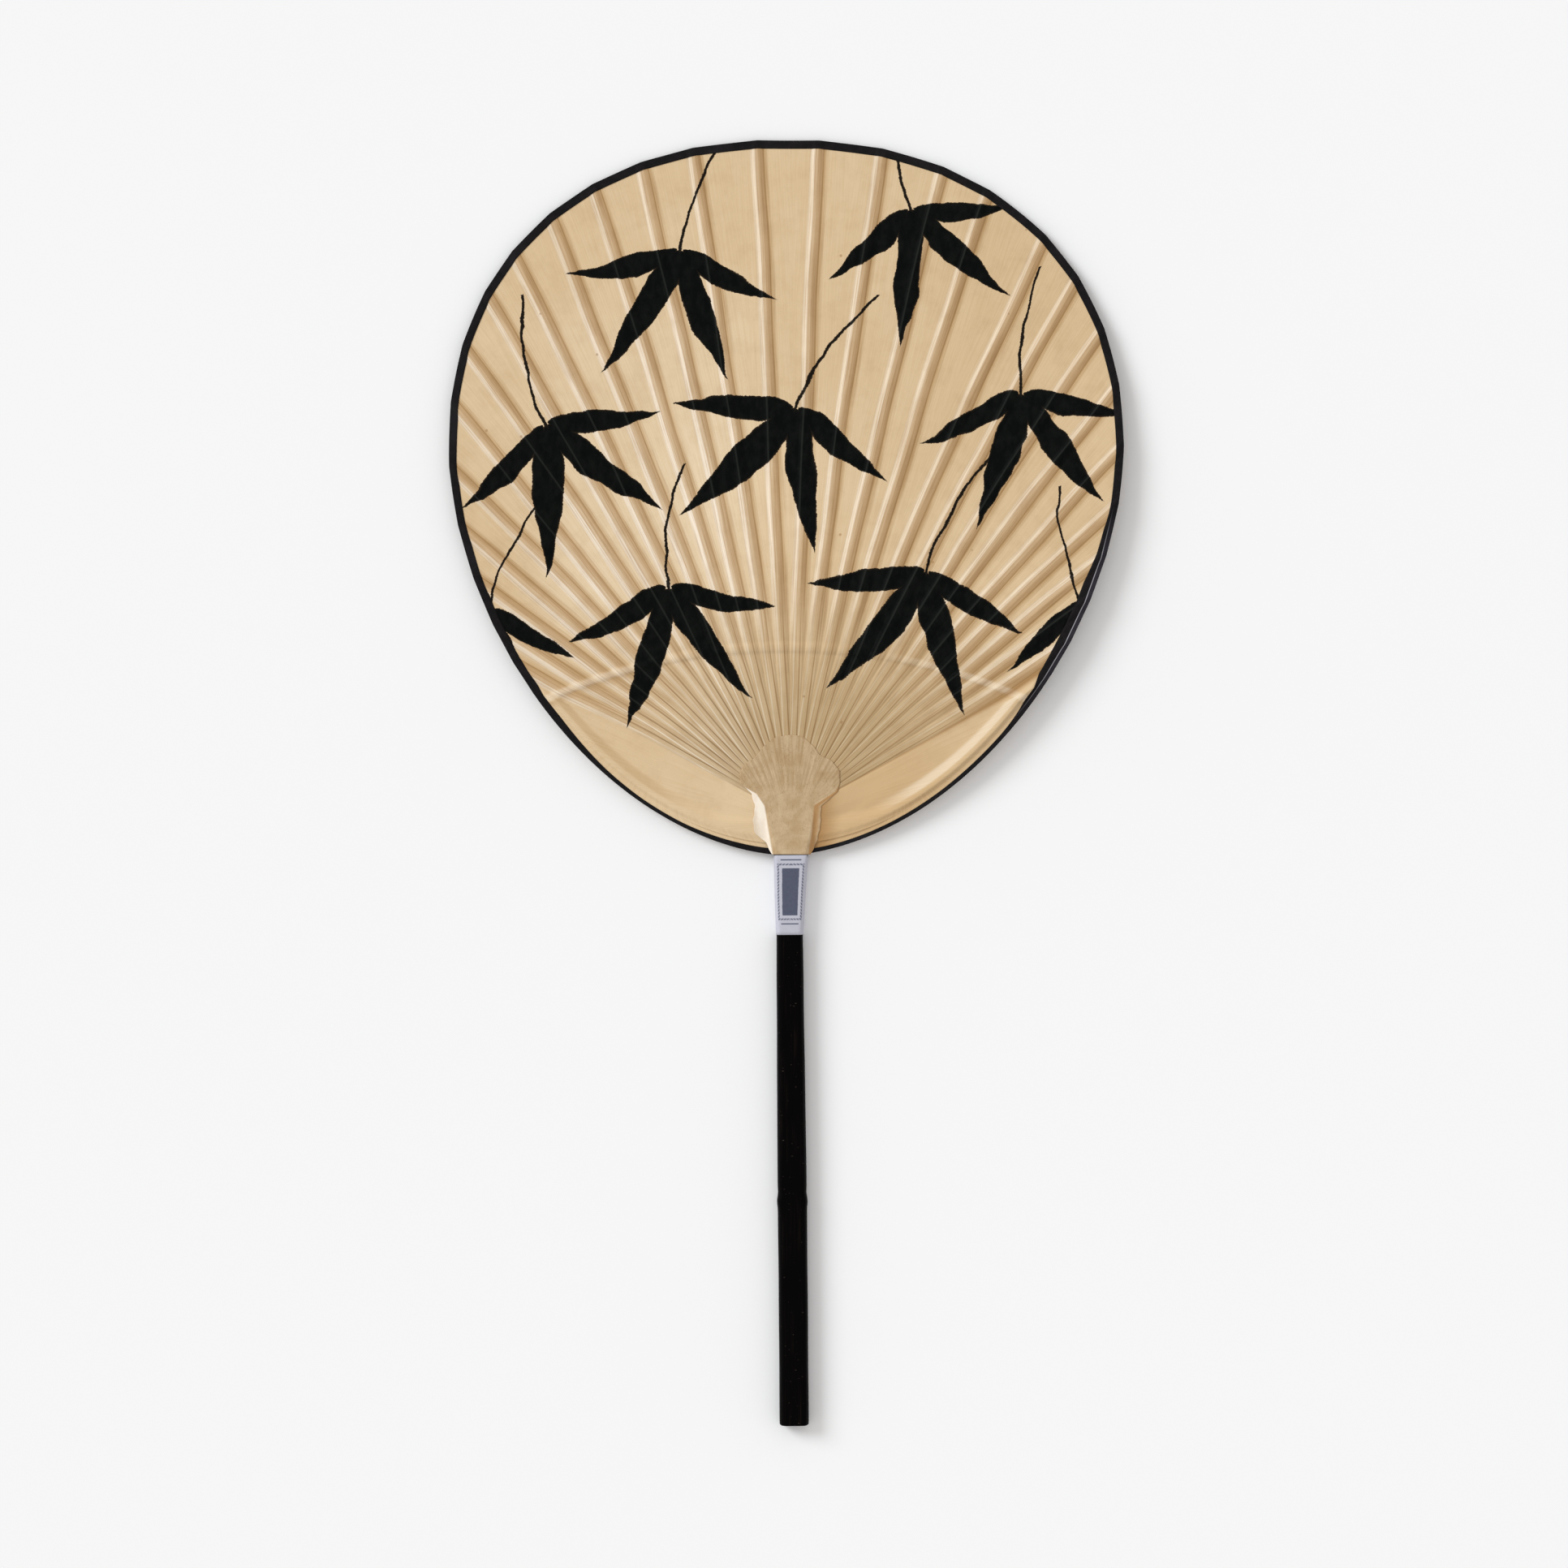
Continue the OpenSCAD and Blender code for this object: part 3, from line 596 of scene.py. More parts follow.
def below(side):
    """The stretch of a sheet between the outermost rib and the head's side, over the bow."""
    v = np.linspace(0.0, 1.0, SIDE_LINES)
    last = 0 if side < 0 else RIBS - 1
    side_angle = rib_angle(last, 118.0)
    gap = math.radians(RIB_STEP) * abs(at_edge(side_angle) - FAN)
    outer = side_angle + side * (2.3 / gap + 0.4) * RIB_STEP
    head_y = at_head(side_angle + side * RIB_STEP).imag
    head_y = head_y + (BOW_Y + BOW_W / 2.0 + BOW_ROOM - head_y) * v
    corner = HUB.real + side * CORNER
    low_y = (1.0 - (abs(corner) / FACE_A) ** (1.0 / BOWL_ROOT)) ** (1.0 / BOWL_POWER)
    low_y = WIDE_Y * (1.0 - low_y)
    e_y = low_y + (at_edge(outer).imag - NECK_Y - low_y) * (1.0 - v) ** 2
    r = HUB.real + side * (stem_r(head_y) + BESIDE_STEM) + 1j * head_y
    by_stem = HUB.real + side * (stem_r(np.array(BOW_Y)) + BESIDE_STEM)
    t = bow_at(side * BOW_REACH + (by_stem - side * BOW_REACH) * v)
    e = np.where(v == 1.0, corner, side * half_width(e_y)) + 1j * (NECK_Y + e_y)
    way = bow_at(t.real + 0.01) - bow_at(t.real - 0.01)
    lower, upper = np.abs(t - r), np.abs(e - t)
    before, after = HUMP_REACH / slant(t - r, way), HUMP_REACH / slant(e - t, way)
    strip = np.interp(v, RIM_LOW_AT, RIM_LOW_LEFT if side < 0 else RIM_LOW_RIGHT)
    strip = strip + RIM_TURNED * turned(np.degrees(np.angle(1j / (e - FAN))))
    strip = strip / slant(e - t, np.gradient(e))
    s = row_places(lower, upper, before, after, strip)
    over = BOW_T / 2.0 + BOW_ROOM
    near = blend_in((v - 0.5) / 0.25)
    tied = 0.5 * np.exp(-(v / 0.02) ** 2)
    # Places along each line and the sheet's height there: at the head, past the ribs' roots, before
    # the bow, over it, past it, halfway to the edge and at the edge.
    profile = [(0.0, ROOT_HALF_T + CLEAR + (over - ROOT_HALF_T - CLEAR) * v),
               (np.minimum(RIB_TAPER / lower, 0.4),
                (0.53 * (1 - v) + PASTE * v) * (1 - near) + over * near),
               (1.0 - np.minimum(before / lower, 0.4), PASTE + (over - PASTE) * near),
               (1.0, over + tied),
               (1.0 + np.minimum(after / upper, 0.4),
                np.where(v == 0.0, over, PASTE + (over / 2.0 - PASTE) * near)),
               (1.5, PASTE), (2.0, PASTE)]
    lift = np.zeros(s.shape)
    for c in range(len(v)):
        knots, levels = np.array([[(k + 0.0 * v)[c] for k in pair] for pair in profile]).T
        where = np.clip(np.searchsorted(knots, s[:, c], side="right") - 1, 0, len(knots) - 2)
        part = blend_in((s[:, c] - knots[where]) / (knots[where + 1] - knots[where]))
        lift[:, c] = levels[where] + (levels[where + 1] - levels[where]) * part
    return on_legs(r, t, e, s), lift + PAPER_T


def sheet_lines():
    """All the lines of a sheet from one side of the head round to the other: places, heights, how
    far they and the next line are from the rib they belong to, and how far out from its root."""
    places, lifts, left, right, fars = [], [], [], [], []

    def take(p, lift, offs, far, own, start=0, end=None):
        """Adds lines from start to before end, each with its own and the next one's distance."""
        end = p.shape[1] if end is None else end
        places.append(p[:, start:end])
        lifts.append(lift[:, start:end])
        left.append(offs[:, start:end])
        right.append(offs[:, start + 1:end + 1])
        fars.append(far[:, start:end] + LAY_STEP * own)

    def joins(p, lift, to_p, to_lift):
        """Lines that fill the gap between the open side and the outermost rib's last line."""
        steps = np.linspace(0.0, 1.0, 7)[1:-1]
        return (np.stack([p + (to_p - p) * t for t in steps], 1),
                np.stack([lift + (to_lift - lift) * blend_in(t) for t in steps], 1))

    first = bay(-1)
    cut = len(RIGHT_FOOT) + FLAT_LINES
    p, lift = below(-1)
    p, lift = p[:, ::-1], lift[:, ::-1]
    join_p, join_l = joins(p[:, -1], lift[:, -1], first[0][:, cut], first[1][:, cut])
    p, lift = np.concatenate([p, join_p], 1), np.concatenate([lift, join_l], 1)
    count = p.shape[1]
    offs = -LEFT_FOOT[0] - SIDE_PITCH * np.arange(count, -1, -1.0)
    take(p, lift, np.broadcast_to(offs, (p.shape[0], count + 1)), np.abs(p - FAN), 0)
    p, lift, off, gap, far = first
    last = p.shape[1] - 1
    take(p, lift, off - gap, far, 0, cut, last)
    for i in range(RIBS - 1):
        p, lift, off, gap, far = bay(i)
        half = len(RIGHT_FOOT) + 2
        take(p, lift, off, far, i, 0, half)
        take(p, lift, off - gap, far, i + 1, half, last)
    p, lift, off, gap, far = bay(RIBS - 1)
    n = len(RIGHT_FOOT)
    take(p, lift, off, far, RIBS - 1, 0, n - 1)
    side_p, side_l = below(1)
    join_p, join_l = joins(p[:, n - 1], lift[:, n - 1], side_p[:, 0], side_l[:, 0])
    p = np.concatenate([p[:, n - 1:n], join_p, side_p], 1)
    lift = np.concatenate([lift[:, n - 1:n], join_l, side_l], 1)
    count = p.shape[1]
    offs = RIGHT_FOOT[-1] + SIDE_PITCH * np.arange(count + 1.0)
    take(p, lift, np.broadcast_to(offs, (p.shape[0], count + 1)), np.abs(p - FAN), RIBS - 1)
    return [np.concatenate(part, 1) for part in (places, lifts, left, right, fars)]


def raised(p, up):
    """Points in space at a height above the middle of the face."""
    return in_space(p, middle(p) + up)


def lay_of(left, right):
    """The lay's values at every quad's corners, from those of its left and right lines."""
    return np.stack([left[:-1], right[:-1], right[1:], left[1:]], 2).reshape(-1, 4, 2)


def shell(name, outer, inner, lay):
    """A closed thin sheet between two grids of points, with the lay of its outer quads."""
    rows, columns = outer.shape[:2]
    skin = grid_faces(rows, columns)
    lining = grid_faces(rows, columns, rows * columns)[:, ::-1]
    ring = np.concatenate([np.arange(columns), np.arange(1, rows) * columns + columns - 1,
                           (rows - 1) * columns + np.arange(columns - 2, -1, -1),
                           np.arange(rows - 2, 0, -1) * columns])
    after = np.roll(ring, -1)
    rim = np.stack([after, ring, ring + rows * columns, after + rows * columns], -1)
    lay = np.concatenate([lay, lay[:, ::-1], np.broadcast_to(lay[:1, :1], (len(rim), 4, 2))])
    return to_mesh(name, np.concatenate([outer.reshape(-1, 3), inner.reshape(-1, 3)]),
                   np.concatenate([skin, lining, rim]), lay)


lines, lifts, off_left, off_right, far_out = sheet_lines()
lay = lay_of(*[np.stack([off, far_out], -1)[:, :-1] for off in (off_left, off_right)])
front = shell("front_sheet", raised(lines, lifts), raised(lines, lifts - PAPER_T), lay)
back = shell("back_sheet", raised(lines, PAPER_T - lifts), raised(lines, -lifts), lay)

SPRAYS = [(-38.0, 190.0, 172.0, 0.93), (44.0, 205.0, 200.0, 0.88), (-86.0, 128.0, 205.0, 0.98),
          (4.0, 135.0, 158.0, 1.02), (84.0, 140.0, 186.0, 0.93), (-42.0, 70.0, 188.0, 0.93),
          (50.0, 76.0, 165.0, 0.98), (104.0, 66.0, 205.0, 0.84), (-106.0, 62.0, 170.0, 0.84)]
LEAVES = [(-62.0, 42.0, 6.8, 0.004), (-23.0, 54.0, 8.7, 0.002),
          (18.0, 57.0, 9.2, -0.002), (59.0, 44.0, 7.2, -0.004)]
TWIG = (0.6, 0.006, -46.0, 7.0)


def leaf_spray():
    """A printed spray of bamboo leaves on a twig, as millimetres inside its edge. A leaf has its
    turn in degrees, length, half width and bend; the twig has its half width, bend and ends."""
    spray = Finish("leaf_spray", bpy.data.node_groups.new("leaf_spray", "ShaderNodeTree"))
    sockets = spray.tree.interface
    sockets.new_socket("Place", in_out="INPUT", socket_type="NodeSocketVector")
    sockets.new_socket("Inside", in_out="OUTPUT", socket_type="NodeSocketFloat")
    place = spray.tree.nodes.new("NodeGroupInput").outputs[0]

    def bent(x, y, bend):
        return spray.math("MULTIPLY_ADD", spray.times(y, y), bend, x)

    half, bend, low, high = TWIG
    x, y = spray.axes(place)
    inside = spray.less(half, spray.size(bent(x, y, bend)))
    inside = spray.math("MINIMUM", inside, spray.less(y, low))
    inside = spray.math("MINIMUM", inside, spray.less(high, y))
    for turn, length, half, bend in LEAVES:
        own = {"Vector": place, "Rotation": (0.0, 0.0, math.radians(-turn))}
        x, y = spray.axes(spray.add("Mapping", own, vector_type="TEXTURE").outputs[0])
        s = spray.math("DIVIDE", spray.less(y, 1.0), length, clamp=True)
        to_tip = spray.math("POWER", spray.less(1.0, s), 1.15)
        width = spray.times(spray.math("POWER", s, 0.62), to_tip, half * 2.05)
        leaf = spray.less(spray.less(width, spray.size(bent(x, y, bend))), 0.3)
        inside = spray.math("MAXIMUM", inside, leaf)
    spray.tree.links.new(inside, spray.tree.nodes.new("NodeGroupOutput").inputs[0])
    return spray.tree


def paper_finish(name, printed):
    """Tan mulberry paper with painted light and shade along its ridges; printed adds the leaf
    sprays.
    """
    paper = Finish(name)
    ramp, fade, times, size = paper.ramp, paper.fade, paper.times, paper.size
    coat, tint, mixed = paper.coat, paper.tint, paper.mixed
    spot = paper.place()
    across, up = paper.axes(spot)
    off, far = paper.lay()
    sideways, off_rib = size(across), size(off)
    # Painted highlight on a ridge's steep left flank, which faces the light, and painted shade on
    # its long right one and in the crease at its foot; painted highlight and shade lines at the
    # edges of the flat strips where the ribs crowd.
    level = (224, 199, 162)
    ridge_light_and_shade = paper.bands(off, [
        (-3.0, *level), (-2.3, 234, 217, 193), (-1.15, 236, 219, 196),
        (-0.9, 217, 190, 155), (0.1, 216, 188, 151), (0.35, 206, 175, 135),
        (1.6, 203, 170, 128), (2.0, 176, 141, 97), (2.35, 206, 175, 133),
        (3.8, *level)])

    def strip(wide, flat, lit, shaded):
        return paper.bands(off, [(-wide, *level), (-1.0, *lit), (-flat, *level), (flat, *level),
                                 (0.98, *shaded), (wide, *level)])

    strip_light_and_shade = mixed(ramp(across, -0.03, 0.03), strip(1.35, 0.6, (248, 234, 212), (158, 126, 88)),
                     strip(1.3, 0.7, (236, 218, 190), (182, 148, 106)))
    out_from_head = paper.math("MODULO", far, LAY_STEP)
    paper.colour = mixed(ramp(out_from_head, 55.0, 100.0), strip_light_and_shade, ridge_light_and_shade)
    # Clouds and mottling; a painted fall-off of the light from the left, duller to the right and
    # paler at the left; and paler in the middle.
    cloud = paper.noise(spot, 18.0, 3.0)
    mottle = paper.noise(spot, 160.0, 4.0, 0.6)
    tint(ramp(cloud, 0.35, 0.65), 0.95, 0.93, 0.90)
    tint(ramp(mottle, 0.4, 0.75, 0.0, 0.4), 0.84, 0.80, 0.75)
    tint(ramp(across, -0.01, 0.07), 0.945, 0.93, 0.905)
    tint(times(fade(size(paper.math("ADD", across, 0.052)), 0.022, 0.05),
               ramp(up, 0.03, 0.055), fade(up, 0.155, 0.185)), 1.07, 1.105, 1.17)
    central = paper.distance(spot, -0.012, 0.098, 0.004)
    tint(fade(central, 0.012, 0.045), 1.06, 1.08, 1.11)
    # Painted shade round the roots of the ribs, deeper at the right, away from the light, and on
    # the open paper beside them at the right.
    root = paper.distance(spot, 0.0017, -0.0117, 0.003)
    root_shade_tone = mixed(ramp(across, -0.03, 0.0), (0.87, 0.88, 0.90, 1.0), (0.71, 0.68, 0.61, 1.0))
    reach = ramp(across, 0.0, 0.04, 0.085, 0.11)
    beside = ramp(off_rib, 3.2, 5.5)
    near_root = times(fade(root, 0.02, reach), paper.less(1.0, beside))
    paper.colour = mixed(near_root, paper.colour, root_shade_tone, "MULTIPLY")
    beside = times(beside, fade(root, 0.03, 0.1, 0.65), ramp(across, -0.005, 0.005))
    coat(beside, 205, 171, 125)
    # Painted highlight over the thread's ends and painted shade under its arc at the left.
    from_arc = paper.distance(spot, 0.0, (THREAD_Y - THREAD_R - MIDDLE_Y) / 1000.0, 0.003)
    from_arc = paper.less(times(from_arc, 1000.0), THREAD_R)
    thread_highlight = times(fade(size(from_arc), 0.5, 1.9, 0.4), ramp(sideways, 0.03, 0.06))
    coat(thread_highlight, 244, 229, 206)
    thread_shade = times(fade(from_arc, -2.0, -1.2), ramp(from_arc, -4.5, -2.0, 0.0, 0.4),
                         fade(across, -0.06, -0.045))
    coat(thread_shade, 190, 158, 116)
    # Painted light on the bow's upper flank on the open paper at both sides: a painted highlight at
    # the right, where it faces the light, and painted shade at the left, where it faces away.
    bow_y = paper.math("POWER", paper.math("DIVIDE", sideways, BOW_REACH / 1000.0), BOW_POWER)
    bow_y = paper.math("MULTIPLY_ADD", bow_y, BOW_LIFT, BOW_Y - MIDDLE_Y)
    over_bow = paper.less(times(up, 1000.0), bow_y)
    flank = times(ramp(over_bow, 1.2, 2.2), fade(over_bow, 4.6, 6.4), ramp(sideways, 0.03, 0.05),
                  paper.math("GREATER_THAN", off_rib, 9.0))
    coat(times(flank, ramp(across, -0.01, 0.01, 0.0, 0.5)), 240, 226, 204)
    coat(times(flank, fade(across, -0.01, 0.01, 0.4)), 196, 160, 112)
    # Shade beside the head and past the last rib at the right.
    by_head = times(fade(across, 0.0115, 0.0205), ramp(across, 0.006, 0.0085),
                    fade(up, -0.003, 0.003))
    last_rib = times(paper.math("GREATER_THAN", far, LAY_STEP * (RIBS - 1)), ramp(off, 1.5, 2.6),
                     fade(off, 3.0, 9.0, 0.8))
    coat(times(paper.math("MAXIMUM", by_head, last_rib), 0.85), 172, 131, 84)
    # Brush streaks along the ribs, worn ridges, and specks of bark.
    along_ribs = paper.add("CombineXYZ", {0: times(off, 2.4), 1: times(far, 0.035)}).outputs[0]
    streak = paper.noise(along_ribs, 1.0, 3.0, 0.65)
    tint(ramp(streak, 0.38, 0.62), 0.94, 0.92, 0.89)
    near_ridge = times(ramp(off, -3.2, -2.2), fade(off, 2.6, 4.5))
    coat(times(near_ridge, ramp(streak, 0.46, 0.66), 0.34), 165, 128, 88)
    worn = paper.noise(along_ribs, (0.12, 0.7, 1.0), 2.0)
    tint(times(near_ridge, ramp(worn, 0.4, 0.62), 0.6), 0.86, 0.83, 0.78)
    specks = paper.add("TexVoronoi", {"Vector": spot, "Scale": 150.0}).outputs
    rare = paper.add("SeparateColor", {0: specks["Color"]}).outputs[0]
    rare = paper.math("GREATER_THAN", rare, 0.84)
    coat(times(fade(specks["Distance"], 0.05, 0.1), rare, 0.5), 150, 108, 66)
    grain = paper.noise(spot, 900.0, 4.0, 0.65)
    roughness = ramp(grain, 0.3, 0.7, 0.78, 0.92)
    if printed:
        # Black leaves, ragged and a little browned at their edges, with a painted highlight on the
        # ink along the ridges' lit left flanks.
        shake = paper.add("TexNoise", {"Vector": spot, "Scale": 70.0, "Detail": 3.0})
        drift = paper.vector("SUBTRACT", shake.outputs["Color"], 0.5, 0.5, 0.5)[0]
        drift = paper.stretched(drift, 5.0, 5.0, 0.0)
        warped = paper.add("VectorMath", {0: paper.stretched(spot, 1000.0, 1000.0, 0.0), 1: drift},
                           operation="ADD").outputs[0]
        group = leaf_spray()
        sprays = []
        for x, y, turn, scale in SPRAYS:
            own = {"Vector": warped, "Location": (x, y, 0.0), "Scale": (scale, scale, 1.0),
                   "Rotation": (0.0, 0.0, math.radians(turn))}
            own = paper.add("Mapping", own, vector_type="TEXTURE").outputs[0]
            sprays.append(paper.add("Group", {0: own}, node_tree=group).outputs[0])
        inside = sprays[0]
        for spray in sprays[1:]:
            inside = paper.math("MAXIMUM", inside, spray)
        ragged = paper.less(paper.noise(spot, 1500.0, 3.0, 0.6), 0.5)
        ink = ramp(paper.math("MULTIPLY_ADD", ragged, 0.9, inside), -0.08, 0.14)
        rolled = paper.noise(paper.stretched(spot, 1.0, 0.6, 1.0), 330.0, 4.0, 0.65)
        black = mixed(ramp(rolled, 0.35, 0.7), paint(4, 6, 5), paint(14, 16, 14))
        black = mixed(fade(inside, 0.15, 0.75, 0.7), black, paint(44, 33, 24))
        # Painted highlight on the ink along each ridge's left flank, which faces the light.
        ink_ridge_highlight = times(ramp(off, -1.9, -1.3), fade(off, -1.2, -0.8), 0.22)
        black = mixed(ink_ridge_highlight, black, paint(64, 66, 62))
        paper.colour = mixed(ink, paper.colour, black)
        roughness = paper.add("Mix", {0: ink, 2: roughness, 3: 0.6}, data_type="FLOAT").outputs[0]
    paper.bumps(grain, 0.00006, 0.8)
    return paper.surface(roughness, Specular_IOR_Level=0.04)


front.data.materials.append(paper_finish("printed_paper", True))
back.data.materials.append(paper_finish("plain_paper", False))
for sheet, node in ((front, "front_paper"), (back, "back_paper")):
    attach(sheet, "root")
    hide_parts(node)

# Rim strip: a narrow strip of black-dyed paper folded over the edges of both sheets and pasted
# down, from one side of the neck round to the other. It is wider over the top than along the
# lower edge, every rib's end shows in it as a small bump, and at the right it is turned up.
RIM_T, GLUE = 0.13, 0.03
FOLD = np.radians([65.0, 35.0, 0.0, -35.0, -65.0])
strip_rows, strip_up = lines[1 - len(RIM_ROWS):], lifts[1 - len(RIM_ROWS):]
edge = lines[-1]
outwards = edge - lines[-3]
out = outwards / np.abs(outwards)


def rim_layer(level):
    """One face of the folded strip, front to back, at a height above the paper."""
    front_side = [raised(p, up + level) for p, up in zip(strip_rows, strip_up)]
    back_side = [raised(p, -up - level) for p, up in zip(strip_rows[::-1], strip_up[::-1])]
    reach, rise = out * (CLEAR + level), strip_up[-1] + level
    fold = [raised(edge + reach * math.cos(a), rise * math.sin(a) / math.sin(FOLD[0]))
            for a in FOLD]
    return np.stack(front_side + fold + back_side, 1)


loops = np.concatenate([rim_layer(GLUE + RIM_T), rim_layer(GLUE)[:, ::-1]], 1)
from_edge = np.full(loops.shape[:2], -1.0)
from_edge[:, :len(strip_rows)] = (np.abs(strip_rows - edge) * slant(outwards, np.gradient(edge))).T
shows = turned(np.degrees(np.angle(1j / (edge - FAN))))[:, None]
places = np.stack([from_edge, np.broadcast_to(shows, from_edge.shape)], -1)
lay = lay_of(places, np.roll(places, -1, 1)).reshape(-1, 2)
lay = np.concatenate([lay, np.full((2 * len(loops[0]), 2), -1.0)])
rim = to_mesh("rim_strip", loops, tube(loops), lay)

dyed = Finish("black_dyed_paper")
spot = dyed.place()
fibres = dyed.noise(spot, 420.0, 4.0, 0.6)
wear = dyed.noise(spot, 55.0, 2.0)
dyed.base(dyed.ramp(fibres, 0.35, 0.75), (14, 12, 13), (27, 24, 25))
dyed.coat(dyed.ramp(wear, 0.5, 0.8, 0.0, 0.5), 38, 36, 39)
from_rim, shows = dyed.lay()
# Painted sheen on the strip's outside where it is turned up at the right, and a painted highlight
# along its fold.
outside = dyed.times(dyed.fade(from_rim, RIM_TURNED - 0.2, RIM_TURNED, 0.7), shows)
dyed.coat(outside, 50, 47, 54)
fold_highlight = dyed.size(dyed.less(from_rim, RIM_TURNED))
fold_highlight = dyed.times(dyed.fade(fold_highlight, 0.05, 0.2), shows, 0.85)
dyed.coat(fold_highlight, 172, 169, 174)
dyed.bumps(fibres, 0.00006, 0.8)
sheen = dyed.ramp(fibres, 0.3, 0.7, 0.68, 0.82)
rim.data.materials.append(dyed.surface(sheen, Specular_IOR_Level=0.1))
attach(rim, "root")
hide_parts("rim_binding")

# Neck patches: a cut piece of strong plain paper pasted over the roots of the ribs, one in front
# and one behind. Each has two ears above a narrow waist, runs down over the head to the label and
# is pressed over the head's sides on to the sheets below.
PATCH_T, PATCH_GLUE = 0.16, 0.05
PATCH_LOW, PATCH_WAIST, PATCH_TOP = 203.5, 222.0, 246.1
# The left and right edges over the head, and how far the flaps below the waist reach past them.
PATCH_L = [(PATCH_LOW, -4.5), (212.0, -6.0), (220.8, -7.4), (225.1, -10.3), (228.3, -16.0),
           (231.8, -16.6), (234.7, -15.5), (236.7, -13.4), (237.5, -11.7), (243.3, -6.8),
           (245.4, -3.3), (PATCH_TOP, 1.2)]
PATCH_R = [(PATCH_LOW, 8.0), (212.0, 9.3), (220.8, 10.0), (226.0, 17.8), (228.9, 19.2),
           (233.2, 19.2), (237.0, 16.3), (239.0, 12.0), (241.9, 10.0), (245.4, 6.2),
           (PATCH_TOP, 2.6)]
FLAP_L = [(PATCH_LOW, 0.7), (208.0, 1.9), (210.9, 5.3), (215.3, 5.3), (221.0, 3.6), (224.5, 2.4),
          (227.0, 0.4), (229.0, 0.0)]
FLAP_R = [(PATCH_LOW, 0.9), (208.0, 2.2), (214.0, 2.8), (220.8, 2.6), (224.0, 1.6), (227.0, 0.3),
          (229.0, 0.0)]
DRAPE_L, DRAPE_R = 0.42, 0.62


def cut_edge(points, y):
    return np.interp(y, *zip(*points))


def draped(under, step_x, step_y):
    """Heights of paper that bridges what it lies on: no steeper than it drapes, then eased."""
    up = under.copy()
    for _ in range(40):
        up[:, :-1] = np.maximum(up[:, :-1], up[:, 1:] - DRAPE_L * step_x)
        up[:, 1:] = np.maximum(up[:, 1:], up[:, :-1] - DRAPE_R * step_x)
        up[:-1] = np.maximum(up[:-1], up[1:] - DRAPE_R * step_y)
        up[1:] = np.maximum(up[1:], up[:-1] - DRAPE_R * step_y)
    taut = up.copy()
    for _ in range(3):
        eased = up.copy()
        eased[1:-1, 1:-1] = (up[1:-1, :-2] + up[1:-1, 2:] + up[:-2, 1:-1] + up[2:, 1:-1]
                             + 2.0 * up[1:-1, 1:-1]) / 6.0
        up = np.maximum(eased, taut)
    return up


def neck_patch(name, side, carrier):
    """One patch, laid over the head and the sheet that carry it."""
    y = np.concatenate([np.linspace(PATCH_LOW, PATCH_WAIST, 40)[:-1],
                        np.linspace(PATCH_WAIST, PATCH_TOP, 64)])
    ragged = 0.12 * uneven(y * 1.3, 0.0 * y, 5.0 + side)
    left = (cut_edge(PATCH_L, y) - cut_edge(FLAP_L, y) - ragged)[:, None]
    right = (cut_edge(PATCH_R, y) + cut_edge(FLAP_R, y) + ragged)[:, None]
    x = left + (right - left) * np.linspace(0.0, 1.0, 72)
    yy = np.broadcast_to(y[:, None], x.shape)
    p = x + 1j * yy
    under = np.full(x.shape, PASTE + PAPER_T)
    for held in (carrier, handle):
        tree = BVHTree.FromObject(held, bpy.context.evaluated_depsgraph_get())
        for spot in np.ndindex(x.shape):
            start = Vector((x[spot] * 0.001, (yy[spot] - MIDDLE_Y) * 0.001, side * 0.05))
            hit = tree.ray_cast(start, Vector((0.0, 0.0, -side)))[0]
            if hit:
                under[spot] = max(under[spot], (hit.z * 1000.0 - middle(p[spot])) * side)
    up = draped(under, (right - left) / (x.shape[1] - 1.0), np.diff(y)[:, None])
    up = up + PATCH_GLUE + 0.02 * uneven(x * 1.1, yy * 0.6, 8.0 + side)
    past = np.stack([cut_edge(PATCH_L, yy) - x, x - cut_edge(PATCH_R, yy)], -1)
    return shell(name, raised(p, side * (up + PATCH_T)), raised(p, side * up),
                 lay_of(past[:, :-1], past[:, 1:]))


front_patch = neck_patch("front_patch", 1, front)
back_patch = neck_patch("back_patch", -1, back)

strong = Finish("strong_tan_paper")
spot = strong.place()
hairs = strong.noise(strong.stretched(spot, 1.0, 0.4, 1.0), 620.0, 3.0, 0.5, 1.6)
hairs = strong.fade(strong.size(strong.less(hairs, 0.5)), 0.0, 0.018, 0.5)
cloud = strong.noise(spot, 170.0, 4.0, 0.6)
strong.base(strong.ramp(cloud, 0.3, 0.75), (203, 178, 143), (181, 153, 116))
from_fan = strong.vector("SUBTRACT", spot, FAN.real / 1000.0, (FAN.imag - MIDDLE_Y) / 1000.0, 0.0)
across, up = strong.axes(from_fan[0])
angle = strong.math("ARCTAN2", across, up)
pressed = strong.add("CombineXYZ", {0: strong.times(angle, 26.0), 1: strong.times(up, 40.0)})
pressed = strong.ramp(strong.noise(pressed.outputs[0], 1.0, 2.0, 0.6), 0.4, 0.62)
pressed = strong.times(pressed, strong.ramp(up, 0.012, 0.022), 0.5)
strong.coat(pressed, 158, 127, 89)
strong.coat(hairs, 150, 116, 80)
ribbed = strong.noise(spot, (700.0, 90.0, 0.0), 3.0, 0.6, 0.8)
strong.coat(strong.ramp(ribbed, 0.42, 0.7, 0.0, 0.16), 168, 138, 100)
past_left, past_right = strong.lay()
# Painted highlight on the left flap, which is pressed down the head's side facing the light.
lit_flap = strong.times(strong.ramp(past_left, -0.1, 0.6, 0.0, 0.95),
                     strong.ramp(cloud, 0.38, 0.6, 0.8, 1.0),
                     strong.ramp(past_left, 2.6, 5.2, 1.0, 0.5))
strong.coat(lit_flap, 249, 237, 220)
